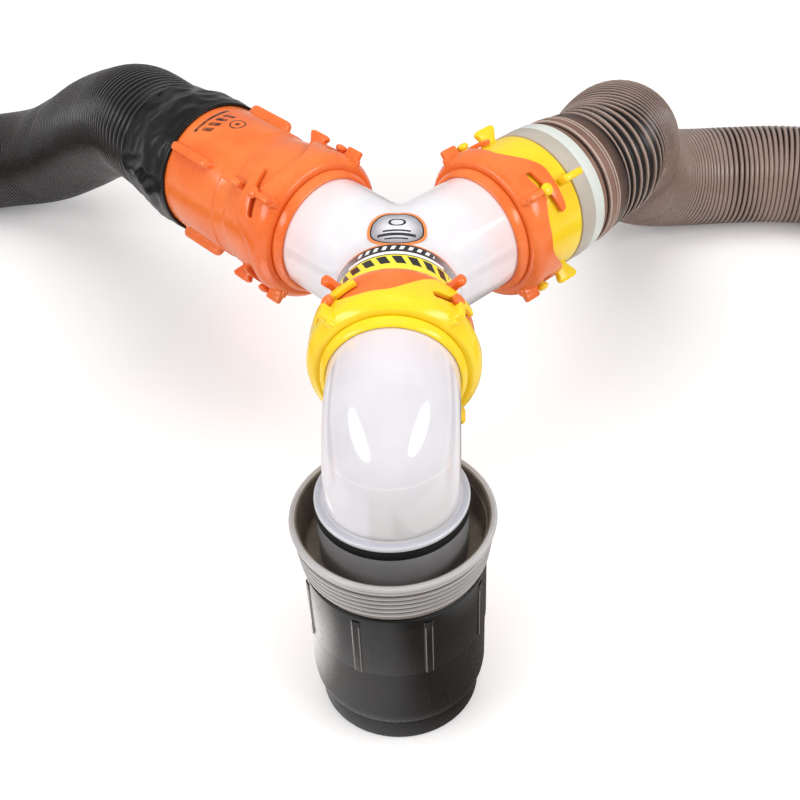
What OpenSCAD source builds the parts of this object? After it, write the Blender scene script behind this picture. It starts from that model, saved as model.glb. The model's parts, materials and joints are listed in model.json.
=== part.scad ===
// Sewer hose kit: a standing inlet with its adapter, a clear elbow, a wye and two ribbed hoses.
// Millimetres, +Z up. The origin is on the floor, on the axis of the standing inlet.
// The wye's front leg lies along +Y, and its arms leave it at arm_angle to either side.

/* [Pipe] */
// Outer diameter of the elbow, wye and hub pipes
pipe_d = 76; // [74:1:78]
// Wall thickness of the moulded pipes
pipe_wall = 3; // [2.5:0.5:4]
// Height of the level pipe axis above the floor
axis_z = 192; // [190:1:200]

/* [Wye] */
// Distance from the inlet's axis to the point where the three legs meet
wye_y = 155; // [153:1:160]
// Angle between the front leg's line and each arm
arm_angle = 45; // [44:1:46]
// Distance along an arm from the meeting point to the rim of its ring
arm_ring_s = 65.5; // [65:0.5:70]
// Distance from the inlet's axis to the rim of the elbow's ring
elbow_ring_y = 52; // [51.5:0.5:54]

/* [Bayonet ring] */
// Outer diameter of the skirt
skirt_d = 100; // [99:1:103]
// Thickness of the skirt
skirt_wall = 3; // [2.5:0.5:3.5]
// Length of the skirt between two hooks
valley_len = 20.5; // [20:0.5:21.5]
// Length of the skirt at a hook
hook_len = 38; // [37:0.5:39]
// Width of the slot for a lug's stem
slot_w = 5.4; // [5.2:0.1:5.8]
// Axial rise of the slot for each degree of turn
slot_rise = 0.19; // [0.17:0.01:0.2]

/* [Lugs] */
// Diameter of a lug's stem
stem_d = 4.4; // [4:0.1:4.6]
// Diameter of a lug's domed head
head_d = 8.2; // [7.8:0.1:8.8]

/* [Inlet and adapter] */
// Diameter of the inlet's foot
foot_d = 95; // [94:1:96]
// Diameter of the inlet's body
body_d = 104.6; // [104:0.2:105]
// Height of the inlet
inlet_h = 110.7; // [110.2:0.1:110.8]
// Diameter over the adapter's plain rim
rim_d = 116; // [115:1:118]
// Height of the adapter's rim above the floor
rim_top = 142; // [141:1:143]

/* [Hoses] */
// Diameter over the ribs of a hose
hose_d = 84; // [83:1:84]
// Bore of a hose
hose_bore_d = 76; // [74:0.5:76]
// Number of ribs on each hose
rib_count = 120; // [60:1:120]

/* [Hidden] */
$fn = 96;
gap = 0.3;

pipe_r = pipe_d / 2;
bore_r = pipe_r - pipe_wall;
skirt_r = skirt_d / 2;
skirt_ir = skirt_r - skirt_wall;
hose_r = hose_d / 2;
hose_bore_r = hose_bore_d / 2;

// Stations along a coupling, measured from the rim of its bayonet ring.
rim_r = 42;             // outer radius of the bush's raised rim
rim_len = 7.2;
bush_ir = pipe_r + 0.35;
bush_or = 40.4;         // the bush's neck, on which the ring turns
thrust_r = 45;          // the bush's inner flange
thrust_s = 12.3;
thrust_end = 14;
ring_bore_r = bush_or + gap;
shoulder_in = 12;       // inner face of the ring's shoulder
flange_back = 16.6;     // the pipe's end flange
flange_end = 19.4;
flange_r = skirt_ir - 0.8;
seal_t = 2.2;
seal_ir = bore_r + 1.5;
seal_or = 45;
fitting_start = flange_end + seal_t + gap;
lug_s = 27;             // station of the lug stems
slot_shut = -15;        // angles from a lug: closed end, middle, mouth, lower lip's end, hook's tip
slot_mid = 4;
slot_out = 26;
lip_end = 5;
hook_tip = 20;
hook_root = -27;
foot_turn = 12;         // a step at the hook's foot: how far round it reaches
foot_s = 28.5;          // station of that step
lip_cut_s = 28.9;       // the lower lip is cut off up to here, which is inside the slot
lug_angles = [45, 135, 225, 315];

sleeve_r = 46;          // body of the hose fittings, past the skirt
paddle_s = 39.5;
paddle_len = 18.5;
paddle_r = 57;
paddle_t = 5;
grip_s = 9.5;
grip_len = 12;
grip_r = 56;

// The hose's end turns in the fitting on its side: room for its tail, and a seal at the tail's end.
tail_ir = hose_r + 0.4;
face_end = 26;          // end of a fitting's face ring
fitting_len = 53;       // yellow fitting, from the ring's rim to its end
bead_s = 58;            // the snap bead on the yellow fitting's tail
bead_end = 60;
band_len = 13.4;
collar_len = 9;
cuff_len = 27;
orange_step = 66.4;     // orange fitting: where its rear sleeve starts
orange_sleeve_len = 117.5;
orange_len = 140;
fin_s = 76;
fin_len = 41.2;
fin_r = 51.5;
left_cuff_len = 54;     // black cuff over the orange sleeve and the hose

// Hoses: each starts inside its fitting, and runs straight out of it before it bends down.
hose_start_l = 150;     // along the left arm from the meeting point
hose_start_r = 97;      // along the right arm from the meeting point
hose_guide = 72;        // the first stretch, up to which it is dead straight
hose_straight = 84;
tail_seal_t = 2.5;
tail_l = hose_start_l - arm_ring_s;
tail_r = hose_start_r - arm_ring_s;
left_route = [
    [-180, 339, 190.5], [-199, 370, 182.5], [-223, 408, 162], [-254, 450, 134], [-290, 491, 98],
    [-331, 525, 66], [-383, 547, 47], [-434, 544, 42], [-478, 522, 42], [-509, 484, 42],
    [-523, 436, 42], [-526, 380, 42], [-526, 325, 43.2], [-526, 270, 46.4], [-526, 215, 49.7],
    [-526, 186, 50.1], [-526, 100, 50.1]
];
right_route = [
    [133, 292, 191], [142, 316, 187.5], [150, 341, 179.5], [157, 366, 165.5], [163.5, 392, 146],
    [169, 418, 122], [175, 444, 97], [185, 471, 73], [204, 495, 54.5], [235, 511, 44.5],
    [275, 518, 42], [320, 519, 42], [366, 510, 42], [407, 486, 42], [433, 448, 42],
    [444, 400, 42], [446, 345, 42.8], [446, 290, 45.7], [446, 235, 49.2], [446, 186, 50.1],
    [446, 100, 50.1]
];
hose_sides = 8;
groove = 0.945;         // a groove's radius, as a share of a rib's
bore_rings = 24;
far_cuff_len = 34;
far_ring_s = 40;        // from the hose's end to the far ring's rim

black = "#2a2827";
orange = "#f0702a";
yellow = "#fbe02a";
milk = "#f4eef4";
grey = "#b5b2b2";
brown = "#6f5a52";

// ---------------------------------------------------------------- placing
// Puts children whose +Z runs along a coupling onto one of its places.
module along(dir_deg, at) {
    translate(at) rotate([0, 0, dir_deg]) rotate([-90, 0, 0]) children();
}

module on_front() along(0, [0, elbow_ring_y, axis_z]) children();
module on_left() {
    a = arm_angle;
    along(a, [-sin(a) * arm_ring_s, wye_y + cos(a) * arm_ring_s, axis_z]) children();
}
module on_right() {
    a = arm_angle;
    along(-a, [sin(a) * arm_ring_s, wye_y + cos(a) * arm_ring_s, axis_z]) children();
}
// Far ends point along -Y.
module on_far(route) {
    end = route[len(route) - 1];
    along(180, [end[0], end[1], end[2]]) children();
}

// In a coupling's own frame, the top of the pipe is at -Y and angles grow clockwise from it.
module at_angle(deg) rotate([0, 0, deg - 90]) children();

// ---------------------------------------------------------------- shared shapes
module tube(outer, inner, from, to) {
    translate([0, 0, from]) difference() {
        cylinder(r = outer, h = to - from);
        translate([0, 0, -1]) cylinder(r = inner, h = to - from + 2);
    }
}

// A radial fin with blunt corners, standing on a body of radius base_r.
module fin(base_r, top_r, from, length, thick) fin_blade(thick) polygon([
    [base_r - 1.5, from], [top_r - 1.5, from], [top_r, from + 1.5], [top_r, from + length - 1.5],
    [top_r - 1.5, from + length], [base_r - 1.5, from + length]
]);

// A finger paddle: past a ring's skirt, its top reaches further both ways than its foot.
module paddle(base_r, top_r, from, to, thick, foot_from, foot_to) fin_blade(thick) polygon([
    [base_r - 1.5, foot_from], [skirt_r + 0.7, foot_from], [top_r - 1.5, from],
    [top_r, from + 1.5], [top_r, to - 1.5], [top_r - 1.5, to], [base_r + 1.6, foot_to],
    [base_r - 1.5, foot_to]
]);

// Stands an outline of radii and stations up as a blade of the given thickness.
module fin_blade(thick) rotate([90, 0, 0]) translate([0, 0, -thick / 2]) linear_extrude(thick) children();

// A straight slot through the skirt, drawn on the plane that touches it at slot_mid from a lug.
function slot_x(deg) = (skirt_r - skirt_wall / 2) * sin(deg - slot_mid);
function slot_z(deg) = lug_s + deg * slot_rise;

module slot(lug) at_angle(lug + slot_mid) rotate([90, 0, 90])
    translate([0, 0, skirt_ir - 8]) linear_extrude(skirt_wall + 16) polygon(concat(
        [for (side = [-1, 1]) [slot_x(slot_out), slot_z(slot_out) + side * slot_w / 2]],
        [for (t = [90:15:270]) [slot_x(slot_shut), slot_z(slot_shut)] + slot_w / 2 * [cos(t), sin(t)]]
    ));

// A bayonet ring: shoulder and skirt with four grips, cut back to leave four hooks.
module bayonet_ring() {
    difference() {
        union() {
            rotate_extrude() polygon([
                [ring_bore_r, rim_len + gap], [rim_r + 3.2, rim_len + gap], [rim_r + 4.2, 8.2],
                [skirt_r - 2.5, 10], [skirt_r - 0.8, 12.5], [skirt_r, 16], [skirt_r, hook_len],
                [ring_bore_r, hook_len]
            ]);
            for (a = lug_angles) at_angle(a) fin(skirt_r - 4, grip_r, grip_s, grip_len, 4.6);
        }
        translate([0, 0, shoulder_in]) cylinder(r = skirt_ir, h = hook_len);
        for (a = lug_angles) {
            slot(a);
            valley(a + lip_end, a + 90 + hook_root - foot_turn, valley_len, lip_cut_s);
            valley(a + hook_tip, a + 90 + hook_root, foot_s, hook_len + 1);
        }
    }
}

// What is cut out of a skirt from one angle to another, and from one height to another.
module valley(from_deg, to_deg, from_s, to_s) {
    rotate([0, 0, from_deg - 90]) rotate_extrude(angle = to_deg - from_deg)
        translate([skirt_ir - 2, from_s]) square([skirt_wall + 4, to_s - from_s]);
}

// The bush on which the ring turns. It slides on the pipe, and bears on the pipe's flange.
module ring_bush() rotate_extrude() polygon([
    [bush_ir, 0.8], [bush_ir + 0.8, 0], [rim_r - 2.4, 1], [rim_r - 0.6, 3], [rim_r, rim_len],
    [bush_or, rim_len], [bush_or, thrust_s], [thrust_r, thrust_s], [thrust_r, thrust_end],
    [bush_ir, thrust_end]
]);

// A finger paddle on a hose fitting. Past the fitting's own end it stands clear of the band.
module hose_paddle(top_r) paddle(
    sleeve_r - 1, top_r, paddle_s, paddle_s + paddle_len, paddle_t, paddle_s + 2, fitting_len - 0.2
);

module end_seal() tube(seal_or, seal_ir, flange_end, flange_end + seal_t);
module end_flange() tube(flange_r, bore_r, flange_back, flange_end);

// Four stems with domed heads on a body of radius base_r.
module lugs(base_r) {
    for (a = lug_angles) at_angle(a) translate([0, 0, lug_s]) rotate([0, 90, 0]) {
        translate([0, 0, base_r - 2]) cylinder(d = stem_d, h = skirt_r + 1.5 - base_r + 2, $fn = 32);
        translate([0, 0, skirt_r + 0.5]) difference() {
            sphere(d = head_d, $fn = 32);
            translate([0, 0, -head_d]) cylinder(d = head_d * 2, h = head_d);
        }
    }
}

// ---------------------------------------------------------------- wye
wye_stub = 44;          // how far the wye's middle reaches along each leg
film_t = 0.35;
disc_r = 18;
band_y = 103;
band_w = 31;
label_turn = 72;        // the band reaches this far round the leg from the top, to either side

module leg_pipes(r, front, arm_end) {
    translate([0, front, axis_z]) rotate([-90, 0, 0]) cylinder(r = r, h = wye_y - front);
    for (side = [-1, 1]) translate([0, wye_y, axis_z]) rotate([0, 0, side * arm_angle])
        rotate([-90, 0, 0]) cylinder(r = r, h = arm_end);
    translate([0, wye_y, axis_z]) sphere(r = r);
}

// The wye is one moulding. Its middle and its three plain legs are solids that meet face to face.
module wye_body() color(milk) difference() {
    leg_pipes(pipe_r, wye_y - wye_stub, wye_stub);
    leg_pipes(bore_r, wye_y - wye_stub - 1, wye_stub + 1);
}

module wye_leg() color(milk) on_front()
    tube(pipe_r, bore_r, fitting_start, wye_y - wye_stub - elbow_ring_y);

module wye_arm() color(milk) difference() {
    union() {
        translate([0, 0, wye_stub - arm_ring_s])
            cylinder(r = pipe_r, h = flange_end + arm_ring_s - wye_stub);
        end_flange();
    }
    translate([0, 0, -arm_ring_s]) cylinder(r = bore_r, h = arm_ring_s + flange_end + 1);
}

module wye_left_arm() on_left() wye_arm();
module wye_right_arm() on_right() wye_arm();

// A thin printed film on top of the wye: a disc over the branch and a band round the front leg.
module wye_label() color("#9a9a9e") intersection() {
    difference() {
        leg_pipes(pipe_r + film_t, band_y, wye_y);
        leg_pipes(pipe_r, band_y - 1, wye_y + 1);
    }
    translate([0, 0, axis_z]) linear_extrude(pipe_d) {
        translate([0, wye_y - 5]) circle(r = disc_r);
        translate([-pipe_r * sin(label_turn), band_y]) square([pipe_d * sin(label_turn), band_w]);
    }
}

module front_lug_fitting() color(orange) on_front() {
    rotate_extrude() polygon([
        [pipe_r, fitting_start], [flange_r, fitting_start], [flange_r, 44],
        [flange_r - 3.2, 50], [pipe_r, 50]
    ]);
    lugs(flange_r);
    for (a = lug_angles) at_angle(a)
        paddle(flange_r - 2, paddle_r, paddle_s, paddle_s + 9, paddle_t, paddle_s + 2, paddle_s + 9);
}

module left_arm_seal() color(black) on_left() end_seal();
module right_arm_seal() color(black) on_right() end_seal();

// ---------------------------------------------------------------- elbow
bend_r = 40;
lip_z = 154.5;
lip_r = 43;
lip_t = 3;
stem_low = 96;
stem_bead = 1.2;

// The stem ends in a snap bead, which turns in a groove in the adapter's sleeve.
module elbow() color(milk) difference() {
    union() {
        elbow_solid(pipe_r);
        translate([0, 0, lip_z]) cylinder(r = lip_r, h = lip_t);
        translate([0, 0, stem_low + 1]) cylinder(r = pipe_r + stem_bead, h = 2);
        on_front() end_flange();
    }
    elbow_solid(bore_r, 1);
}

module elbow_solid(r, extra = 0) {
    translate([0, 0, stem_low - extra]) cylinder(r = r, h = axis_z - bend_r - stem_low + extra);
    translate([0, bend_r, axis_z - bend_r]) rotate([90, 0, -90])
        rotate_extrude(angle = 90) translate([bend_r, 0]) circle(r = r);
    translate([0, bend_r, axis_z]) rotate([-90, 0, 0])
        cylinder(r = r, h = elbow_ring_y + flange_end - bend_r + extra);
}

module elbow_ring() color(yellow) on_front() bayonet_ring();
module elbow_ring_bush() color(yellow) on_front() ring_bush();
module elbow_seal() color(black) on_front() end_seal();

// ---------------------------------------------------------------- adapter and inlet
gasket_t = 4;
gasket_gap = 0.8;       // between the gasket and the lip over it
sleeve_top = lip_z - gasket_gap - gasket_t;
sleeve_low = 90;
sleeve_or = 42.2;
sleeve_ir = pipe_r + 0.3;
cup_r = 53.5;
cup_low_r = 50.5;
cup_floor = 118;
thread_low = 111;
thread_count = 6;
thread_pitch = 3.9;
thread_depth = 1.5;
thread_taper = 0.6;     // how much wider each thread is than the one below it
neck_r = 46.6;
neck_low = 85;
foot_h = 15.5;
step_z = 66;
inlet_bore_r = 47;
inlet_low_bore_r = 43;

module elbow_gasket() color(black) tube(sleeve_or + 0.5, pipe_r + 0.3, sleeve_top, sleeve_top + gasket_t);

module adapter_ring() color(grey) rotate_extrude() polygon(concat(
    [[sleeve_or, neck_low], [neck_r, neck_low], [neck_r, thread_low], [cup_low_r + 1, thread_low]],
    [for (i = [0:thread_count - 1], k = [0:3])
        [rim_d / 2 - 1 - (thread_count - i) * thread_taper - (k == 0 || k == 3 ? thread_depth : 0),
         thread_low + 1.2 + (i + k * 0.26) * thread_pitch]],
    [[rim_d / 2 - 2, rim_top - 6], [rim_d / 2, rim_top - 5], [rim_d / 2, rim_top - 0.8],
     [rim_d / 2 - 0.8, rim_top], [cup_r, rim_top], [cup_low_r, cup_floor], [sleeve_or, cup_floor]]
));

module adapter_sleeve() color("#7f7f7f") difference() {
    tube(sleeve_or, sleeve_ir, sleeve_low, sleeve_top);
    translate([0, 0, stem_low + 1 - gap]) cylinder(r = sleeve_ir + stem_bead, h = 2 + 2 * gap);
}

module inlet_fitting() color(black) difference() {
    union() {
        rotate_extrude() polygon([
            [inlet_low_bore_r, 0], [foot_d / 2 - 1, 0], [foot_d / 2, 1], [foot_d / 2, 13.6],
            [foot_d / 2 - 0.5, 14], [foot_d / 2, 14.4], [foot_d / 2 + 0.6, foot_h],
            [body_d / 2 - 1.8, foot_h + 3.5], [body_d / 2 - 0.6, foot_h + 8.5],
            [body_d / 2 - 0.5, step_z], [body_d / 2, step_z + 0.4], [body_d / 2, inlet_h - 1],
            [body_d / 2 - 1, inlet_h], [inlet_low_bore_r, inlet_h]
        ]);
        for (a = [22.5:45:360]) rotate([0, 0, a]) translate([body_d / 2 - 2, -2.2, step_z + 0.5])
            cube([2.8, 4.4, inlet_h - step_z - 2.5]);
    }
    translate([0, 0, -1]) cylinder(r = inlet_low_bore_r, h = inlet_h + 2);
    translate([0, 0, neck_low - 25]) cylinder(r = inlet_bore_r, h = inlet_h);
}

// ---------------------------------------------------------------- left coupling
module left_ring() color(orange) on_left() bayonet_ring();
module left_ring_bush() color(orange) on_left() ring_bush();

module left_lug_fitting() color(orange) on_left() {
    rotate_extrude() polygon([
        [bore_r, fitting_start], [flange_r, fitting_start], [flange_r, 40],
        [sleeve_r - 0.8, fitting_len - 1], [sleeve_r - 1.4, fitting_len],
        [sleeve_r - 2.4, fitting_len + 2], [sleeve_r - 1.6, orange_step - 1],
        [sleeve_r - 0.6, orange_step], [sleeve_r - 0.6, orange_sleeve_len - 2],
        [sleeve_r - 1.2, orange_sleeve_len + 2], [sleeve_r - 1.2, orange_len],
        [tail_ir, orange_len], [tail_ir, tail_l - gap - tail_seal_t],
        [bore_r + 4, tail_l - gap - tail_seal_t], [bore_r + 4, face_end + 4],
        [bore_r, face_end]
    ]);
    lugs(flange_r);
    for (a = lug_angles) at_angle(a) {
        hose_paddle(paddle_r - 2);
        fin(sleeve_r - 1, fin_r, fin_s, fin_len, 6);
    }
}

module left_swivel_seal() color(black) on_left()
    tube(tail_ir, bore_r + 4, tail_l - gap - tail_seal_t, tail_l - gap);

// A rubber cuff stretched over the orange sleeve, drawn in on the hose.
module left_cuff() color(black) on_left() rotate_extrude() polygon([
    [sleeve_r - 0.3, orange_sleeve_len], [sleeve_r + 1.6, orange_sleeve_len],
    [sleeve_r + 2, orange_sleeve_len + 6], [sleeve_r + 1.6, orange_sleeve_len + 22],
    [hose_r + 3, orange_sleeve_len + 36], [hose_r + 1.8, orange_sleeve_len + left_cuff_len],
    [hose_r + gap, orange_sleeve_len + left_cuff_len], [hose_r + gap, orange_len + 3],
    [sleeve_r - 0.3, orange_len + 1]
]);

// ---------------------------------------------------------------- right coupling
band_s = fitting_len + gap;
collar_s = fitting_len + band_len;
cuff_s = collar_s + collar_len;

module right_ring() color(orange) on_right() bayonet_ring();
module right_ring_bush() color(orange) on_right() ring_bush();

// The yellow fitting ends in a thin tail, whose bead snaps into the band.
module right_lug_fitting() color(yellow) on_right() {
    rotate_extrude() polygon([
        [bore_r, fitting_start], [flange_r, fitting_start], [flange_r, 40],
        [sleeve_r, fitting_len - 1], [sleeve_r - 1, fitting_len], [tail_ir + 1, fitting_len],
        [tail_ir + 1, bead_s], [tail_ir + 1.8, bead_s + 0.5], [tail_ir + 1.8, bead_end - 0.8],
        [tail_ir + 1, bead_end], [tail_ir, bead_end],
        [tail_ir, tail_r - gap - tail_seal_t - 1.5], [bore_r, face_end - 1]
    ]);
    lugs(flange_r);
    for (a = lug_angles) at_angle(a) hose_paddle(paddle_r);
}

module right_swivel_seal() color(black) on_right()
    tube(tail_ir, bore_r + 4, tail_r - gap - tail_seal_t, tail_r - gap);

module right_band() color("#b9b1a8") on_right() rotate_extrude() polygon([
    [tail_ir + 1.4, band_s], [sleeve_r + 0.5, band_s], [sleeve_r + 0.5, collar_s],
    [tail_ir, collar_s], [tail_ir, bead_end + gap], [tail_ir + 2.2, bead_end + gap],
    [tail_ir + 2.2, bead_s - 0.2], [tail_ir + 1.4, bead_s - 0.5]
]);

module right_collar() color("#c9cfc9") on_right() tube(sleeve_r, tail_ir, collar_s, cuff_s);

// A rubber cuff with two broad ridges.
module right_cuff() color(brown) on_right() rotate_extrude() polygon([
    [hose_r + gap, cuff_s], [hose_r + 1.6, cuff_s], [hose_r + 2.2, cuff_s + 3],
    [hose_r + 2, cuff_s + 8], [hose_r + 0.9, cuff_s + 10.5], [hose_r + 2, cuff_s + 13],
    [hose_r + 1.8, cuff_s + 20], [hose_r + 0.9, cuff_s + 23], [hose_r + 0.9, cuff_s + cuff_len],
    [hose_r + gap, cuff_s + cuff_len]
]);

// ---------------------------------------------------------------- hoses
function arm_point(side, s) = [side * sin(arm_angle) * s, wye_y + cos(arm_angle) * s, axis_z];
function lead(side, start) =
    [for (s = [0, hose_guide, hose_straight]) arm_point(side, start + s)];
left_path = concat(lead(-1, hose_start_l), left_route);
right_path = concat(lead(1, hose_start_r), right_route);

function unit(v) = v / norm(v);
function run(p, i = 0, sum = 0) = i >= len(p) - 1 ? sum : run(p, i + 1, sum + norm(p[i + 1] - p[i]));
// The length from the start to each point.
function marks(p, i = 0, sum = 0) =
    i == len(p) - 1 ? [sum] : concat([sum], marks(p, i + 1, sum + norm(p[i + 1] - p[i])));
// The direction at a point: along the leg at an end, and the mean of its two legs between.
function heading(p, i) = i == 0 ? unit(p[1] - p[0])
    : i == len(p) - 1 ? unit(p[i] - p[i - 1])
    : unit(unit(p[i] - p[i - 1]) + unit(p[i + 1] - p[i]));
// A smooth point between i and i+1, at t from 0 to 1 (cubic Hermite).
function ease(p, i, t) = let (L = norm(p[i + 1] - p[i]))
    p[i] * (2 * t * t * t - 3 * t * t + 1) + heading(p, i) * L * (t * t * t - 2 * t * t + t)
    + p[i + 1] * (3 * t * t - 2 * t * t * t) + heading(p, i + 1) * L * (t * t * t - t * t);
function slope(p, i, t) = let (L = norm(p[i + 1] - p[i]))
    unit(p[i] * (6 * t * t - 6 * t) + heading(p, i) * L * (3 * t * t - 4 * t + 1)
    + p[i + 1] * (6 * t - 6 * t * t) + heading(p, i + 1) * L * (3 * t * t - 2 * t));
function leg(m, s, i = 0) = i >= len(m) - 2 || s <= m[i + 1] ? i : leg(m, s, i + 1);
function leg_t(m, s, i) = (s - m[i]) / (m[i + 1] - m[i]);

// A ring of corner points round the path at the distance s from its start, one corner on top.
function ring_at(p, m, s, r) =
    let (
        i = leg(m, s), t = leg_t(m, s, i), c = ease(p, i, t), d = slope(p, i, t),
        side = unit(cross(d, [0, 0, 1])), up = cross(side, d)
    )
    [for (k = [0:hose_sides - 1]) let (a = 90 + 360 * k / hose_sides)
        c + r * (cos(a) * side + sin(a) * up)];

function quad(a, b, c, d) = [[a, b, c], [a, c, d]];
function flatten(l) = [for (x = l) each x];

// A ribbed tube: each rib has a ring of corners at its crest and one in the groove after it.
module ribbed_hose(p) {
    m = marks(p);
    L = m[len(m) - 1];
    n = hose_sides;
    outer = [for (i = [0:2 * rib_count])
        ring_at(p, m, L * i / (2 * rib_count), i % 2 == 0 ? hose_r * groove : hose_r)];
    inner = [for (i = [0:bore_rings]) ring_at(p, m, L * i / bore_rings, hose_bore_r)];
    o = len(outer);
    b = o * n;
    q = len(inner);
    skin = [for (i = [0:o - 2], k = [0:n - 1]) let (j = (k + 1) % n)
        each quad(i * n + k, (i + 1) * n + k, (i + 1) * n + j, i * n + j)];
    bore = [for (i = [0:q - 2], k = [0:n - 1]) let (j = (k + 1) % n)
        each quad(b + i * n + j, b + (i + 1) * n + j, b + (i + 1) * n + k, b + i * n + k)];
    start = [for (k = [0:n - 1]) let (j = (k + 1) % n) each quad(k, j, b + j, b + k)];
    end = [for (k = [0:n - 1]) let (j = (k + 1) % n, x = (o - 1) * n, y = b + (q - 1) * n)
        each quad(x + j, x + k, y + k, y + j)];
    polyhedron(
        points = concat(flatten(outer), flatten(inner)),
        faces = concat(skin, bore, start, end), convexity = 10
    );
    echo(hose_length = L, rib_pitch = L / rib_count);
}

module left_hose() color(black) ribbed_hose(left_path);
module right_hose() color(brown) ribbed_hose(right_path);

// ---------------------------------------------------------------- far ends
module far_cuff() tube(hose_r + 2.2, hose_r + gap, -far_cuff_len, 0);

module far_hub() rotate_extrude() polygon([
    [bore_r, 0], [hose_r + 2.2, 0], [hose_r + 2.2, 12], [pipe_r, 16],
    [pipe_r, far_ring_s + flange_back], [flange_r, far_ring_s + flange_back],
    [flange_r, far_ring_s + flange_end], [bore_r, far_ring_s + flange_end]
]);

module at_far_ring() translate([0, 0, far_ring_s]) children();

module left_far_cuff() color(black) on_far(left_path) far_cuff();
module left_far_hub() color(orange) on_far(left_path) far_hub();
module left_far_ring() color(orange) on_far(left_path) at_far_ring() bayonet_ring();
module left_far_ring_bush() color(orange) on_far(left_path) at_far_ring() ring_bush();
module left_far_seal() color(black) on_far(left_path) at_far_ring() end_seal();
module right_far_cuff() color(brown) on_far(right_path) far_cuff();
module right_far_hub() color(yellow) on_far(right_path) far_hub();
module right_far_ring() color(orange) on_far(right_path) at_far_ring() bayonet_ring();
module right_far_ring_bush() color(orange) on_far(right_path) at_far_ring() ring_bush();
module right_far_seal() color(black) on_far(right_path) at_far_ring() end_seal();

wye_body();
wye_leg();
wye_left_arm();
wye_right_arm();
wye_label();
front_lug_fitting();
left_arm_seal();
right_arm_seal();
elbow();
elbow_gasket();
elbow_seal();
elbow_ring();
elbow_ring_bush();
adapter_ring();
adapter_sleeve();
inlet_fitting();
left_ring();
left_ring_bush();
left_lug_fitting();
left_swivel_seal();
left_cuff();
left_hose();
left_far_cuff();
left_far_hub();
left_far_ring();
left_far_ring_bush();
left_far_seal();
right_ring();
right_ring_bush();
right_lug_fitting();
right_swivel_seal();
right_band();
right_collar();
right_cuff();
right_hose();
right_far_cuff();
right_far_hub();
right_far_ring();
right_far_ring_bush();
right_far_seal();
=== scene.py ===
"""The looks of a sewer hose kit: a standing inlet, an elbow, a wye and two ribbed hoses.

Every piece is shaped in millimetres in the frame of the coupling or column that carries it.
It is placed in metres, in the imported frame, when it is finished.
"""

import json
import logging
import math
from collections.abc import Sequence
from dataclasses import dataclass
from enum import Enum

import bmesh
import bpy
from mathutils import Matrix, Vector

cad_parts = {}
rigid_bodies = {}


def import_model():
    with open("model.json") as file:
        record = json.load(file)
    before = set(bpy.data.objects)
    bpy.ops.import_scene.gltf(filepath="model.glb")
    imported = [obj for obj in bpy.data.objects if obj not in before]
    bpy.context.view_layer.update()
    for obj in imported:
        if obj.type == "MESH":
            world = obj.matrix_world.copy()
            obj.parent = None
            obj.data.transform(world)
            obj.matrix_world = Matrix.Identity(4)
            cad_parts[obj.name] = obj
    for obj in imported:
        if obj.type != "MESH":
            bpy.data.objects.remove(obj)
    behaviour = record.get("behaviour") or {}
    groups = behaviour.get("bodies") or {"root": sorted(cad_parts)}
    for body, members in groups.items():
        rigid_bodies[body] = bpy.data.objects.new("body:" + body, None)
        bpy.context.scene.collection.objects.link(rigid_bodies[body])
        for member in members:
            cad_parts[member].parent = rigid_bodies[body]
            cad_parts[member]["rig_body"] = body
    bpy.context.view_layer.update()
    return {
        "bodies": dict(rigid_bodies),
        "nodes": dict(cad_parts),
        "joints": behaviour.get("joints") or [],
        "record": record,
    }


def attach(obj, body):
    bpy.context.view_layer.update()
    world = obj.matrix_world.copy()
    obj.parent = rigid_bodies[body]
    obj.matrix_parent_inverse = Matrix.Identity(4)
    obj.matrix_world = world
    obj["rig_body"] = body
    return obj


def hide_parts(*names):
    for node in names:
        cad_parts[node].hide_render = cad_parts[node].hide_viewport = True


LOG = logging.getLogger("sewer_hose_kit")
MM = 0.001
WELD = 0.004
TURN_STEPS = 96
SHARP_ANGLE = math.radians(34)
LUG_ANGLES = (45, 135, 225, 315)

Point = tuple[float, float, float]
Colour = tuple[float, float, float, float]
Corner = tuple[float, ...]


def linear(code: str) -> Colour:
    """Turns a written colour such as "f0702a" into linear light.

    Args:
        code: Six hexadecimal digits.

    Returns:
        The colour, with an alpha of 1.
    """
    parts = [int(code[i:i + 2], 16) / 255 for i in (0, 2, 4)]
    light = [c / 12.92 if c <= 0.04045 else ((c + 0.055) / 1.055) ** 2.4 for c in parts]
    return (light[0], light[1], light[2], 1.0)


def smooth_step(t: float) -> float:
    """A ramp from 0 to 1 that starts and ends level."""
    t = min(max(t, 0.0), 1.0)
    return t * t * (3 - 2 * t)


# ---------------- shader tools


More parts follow.
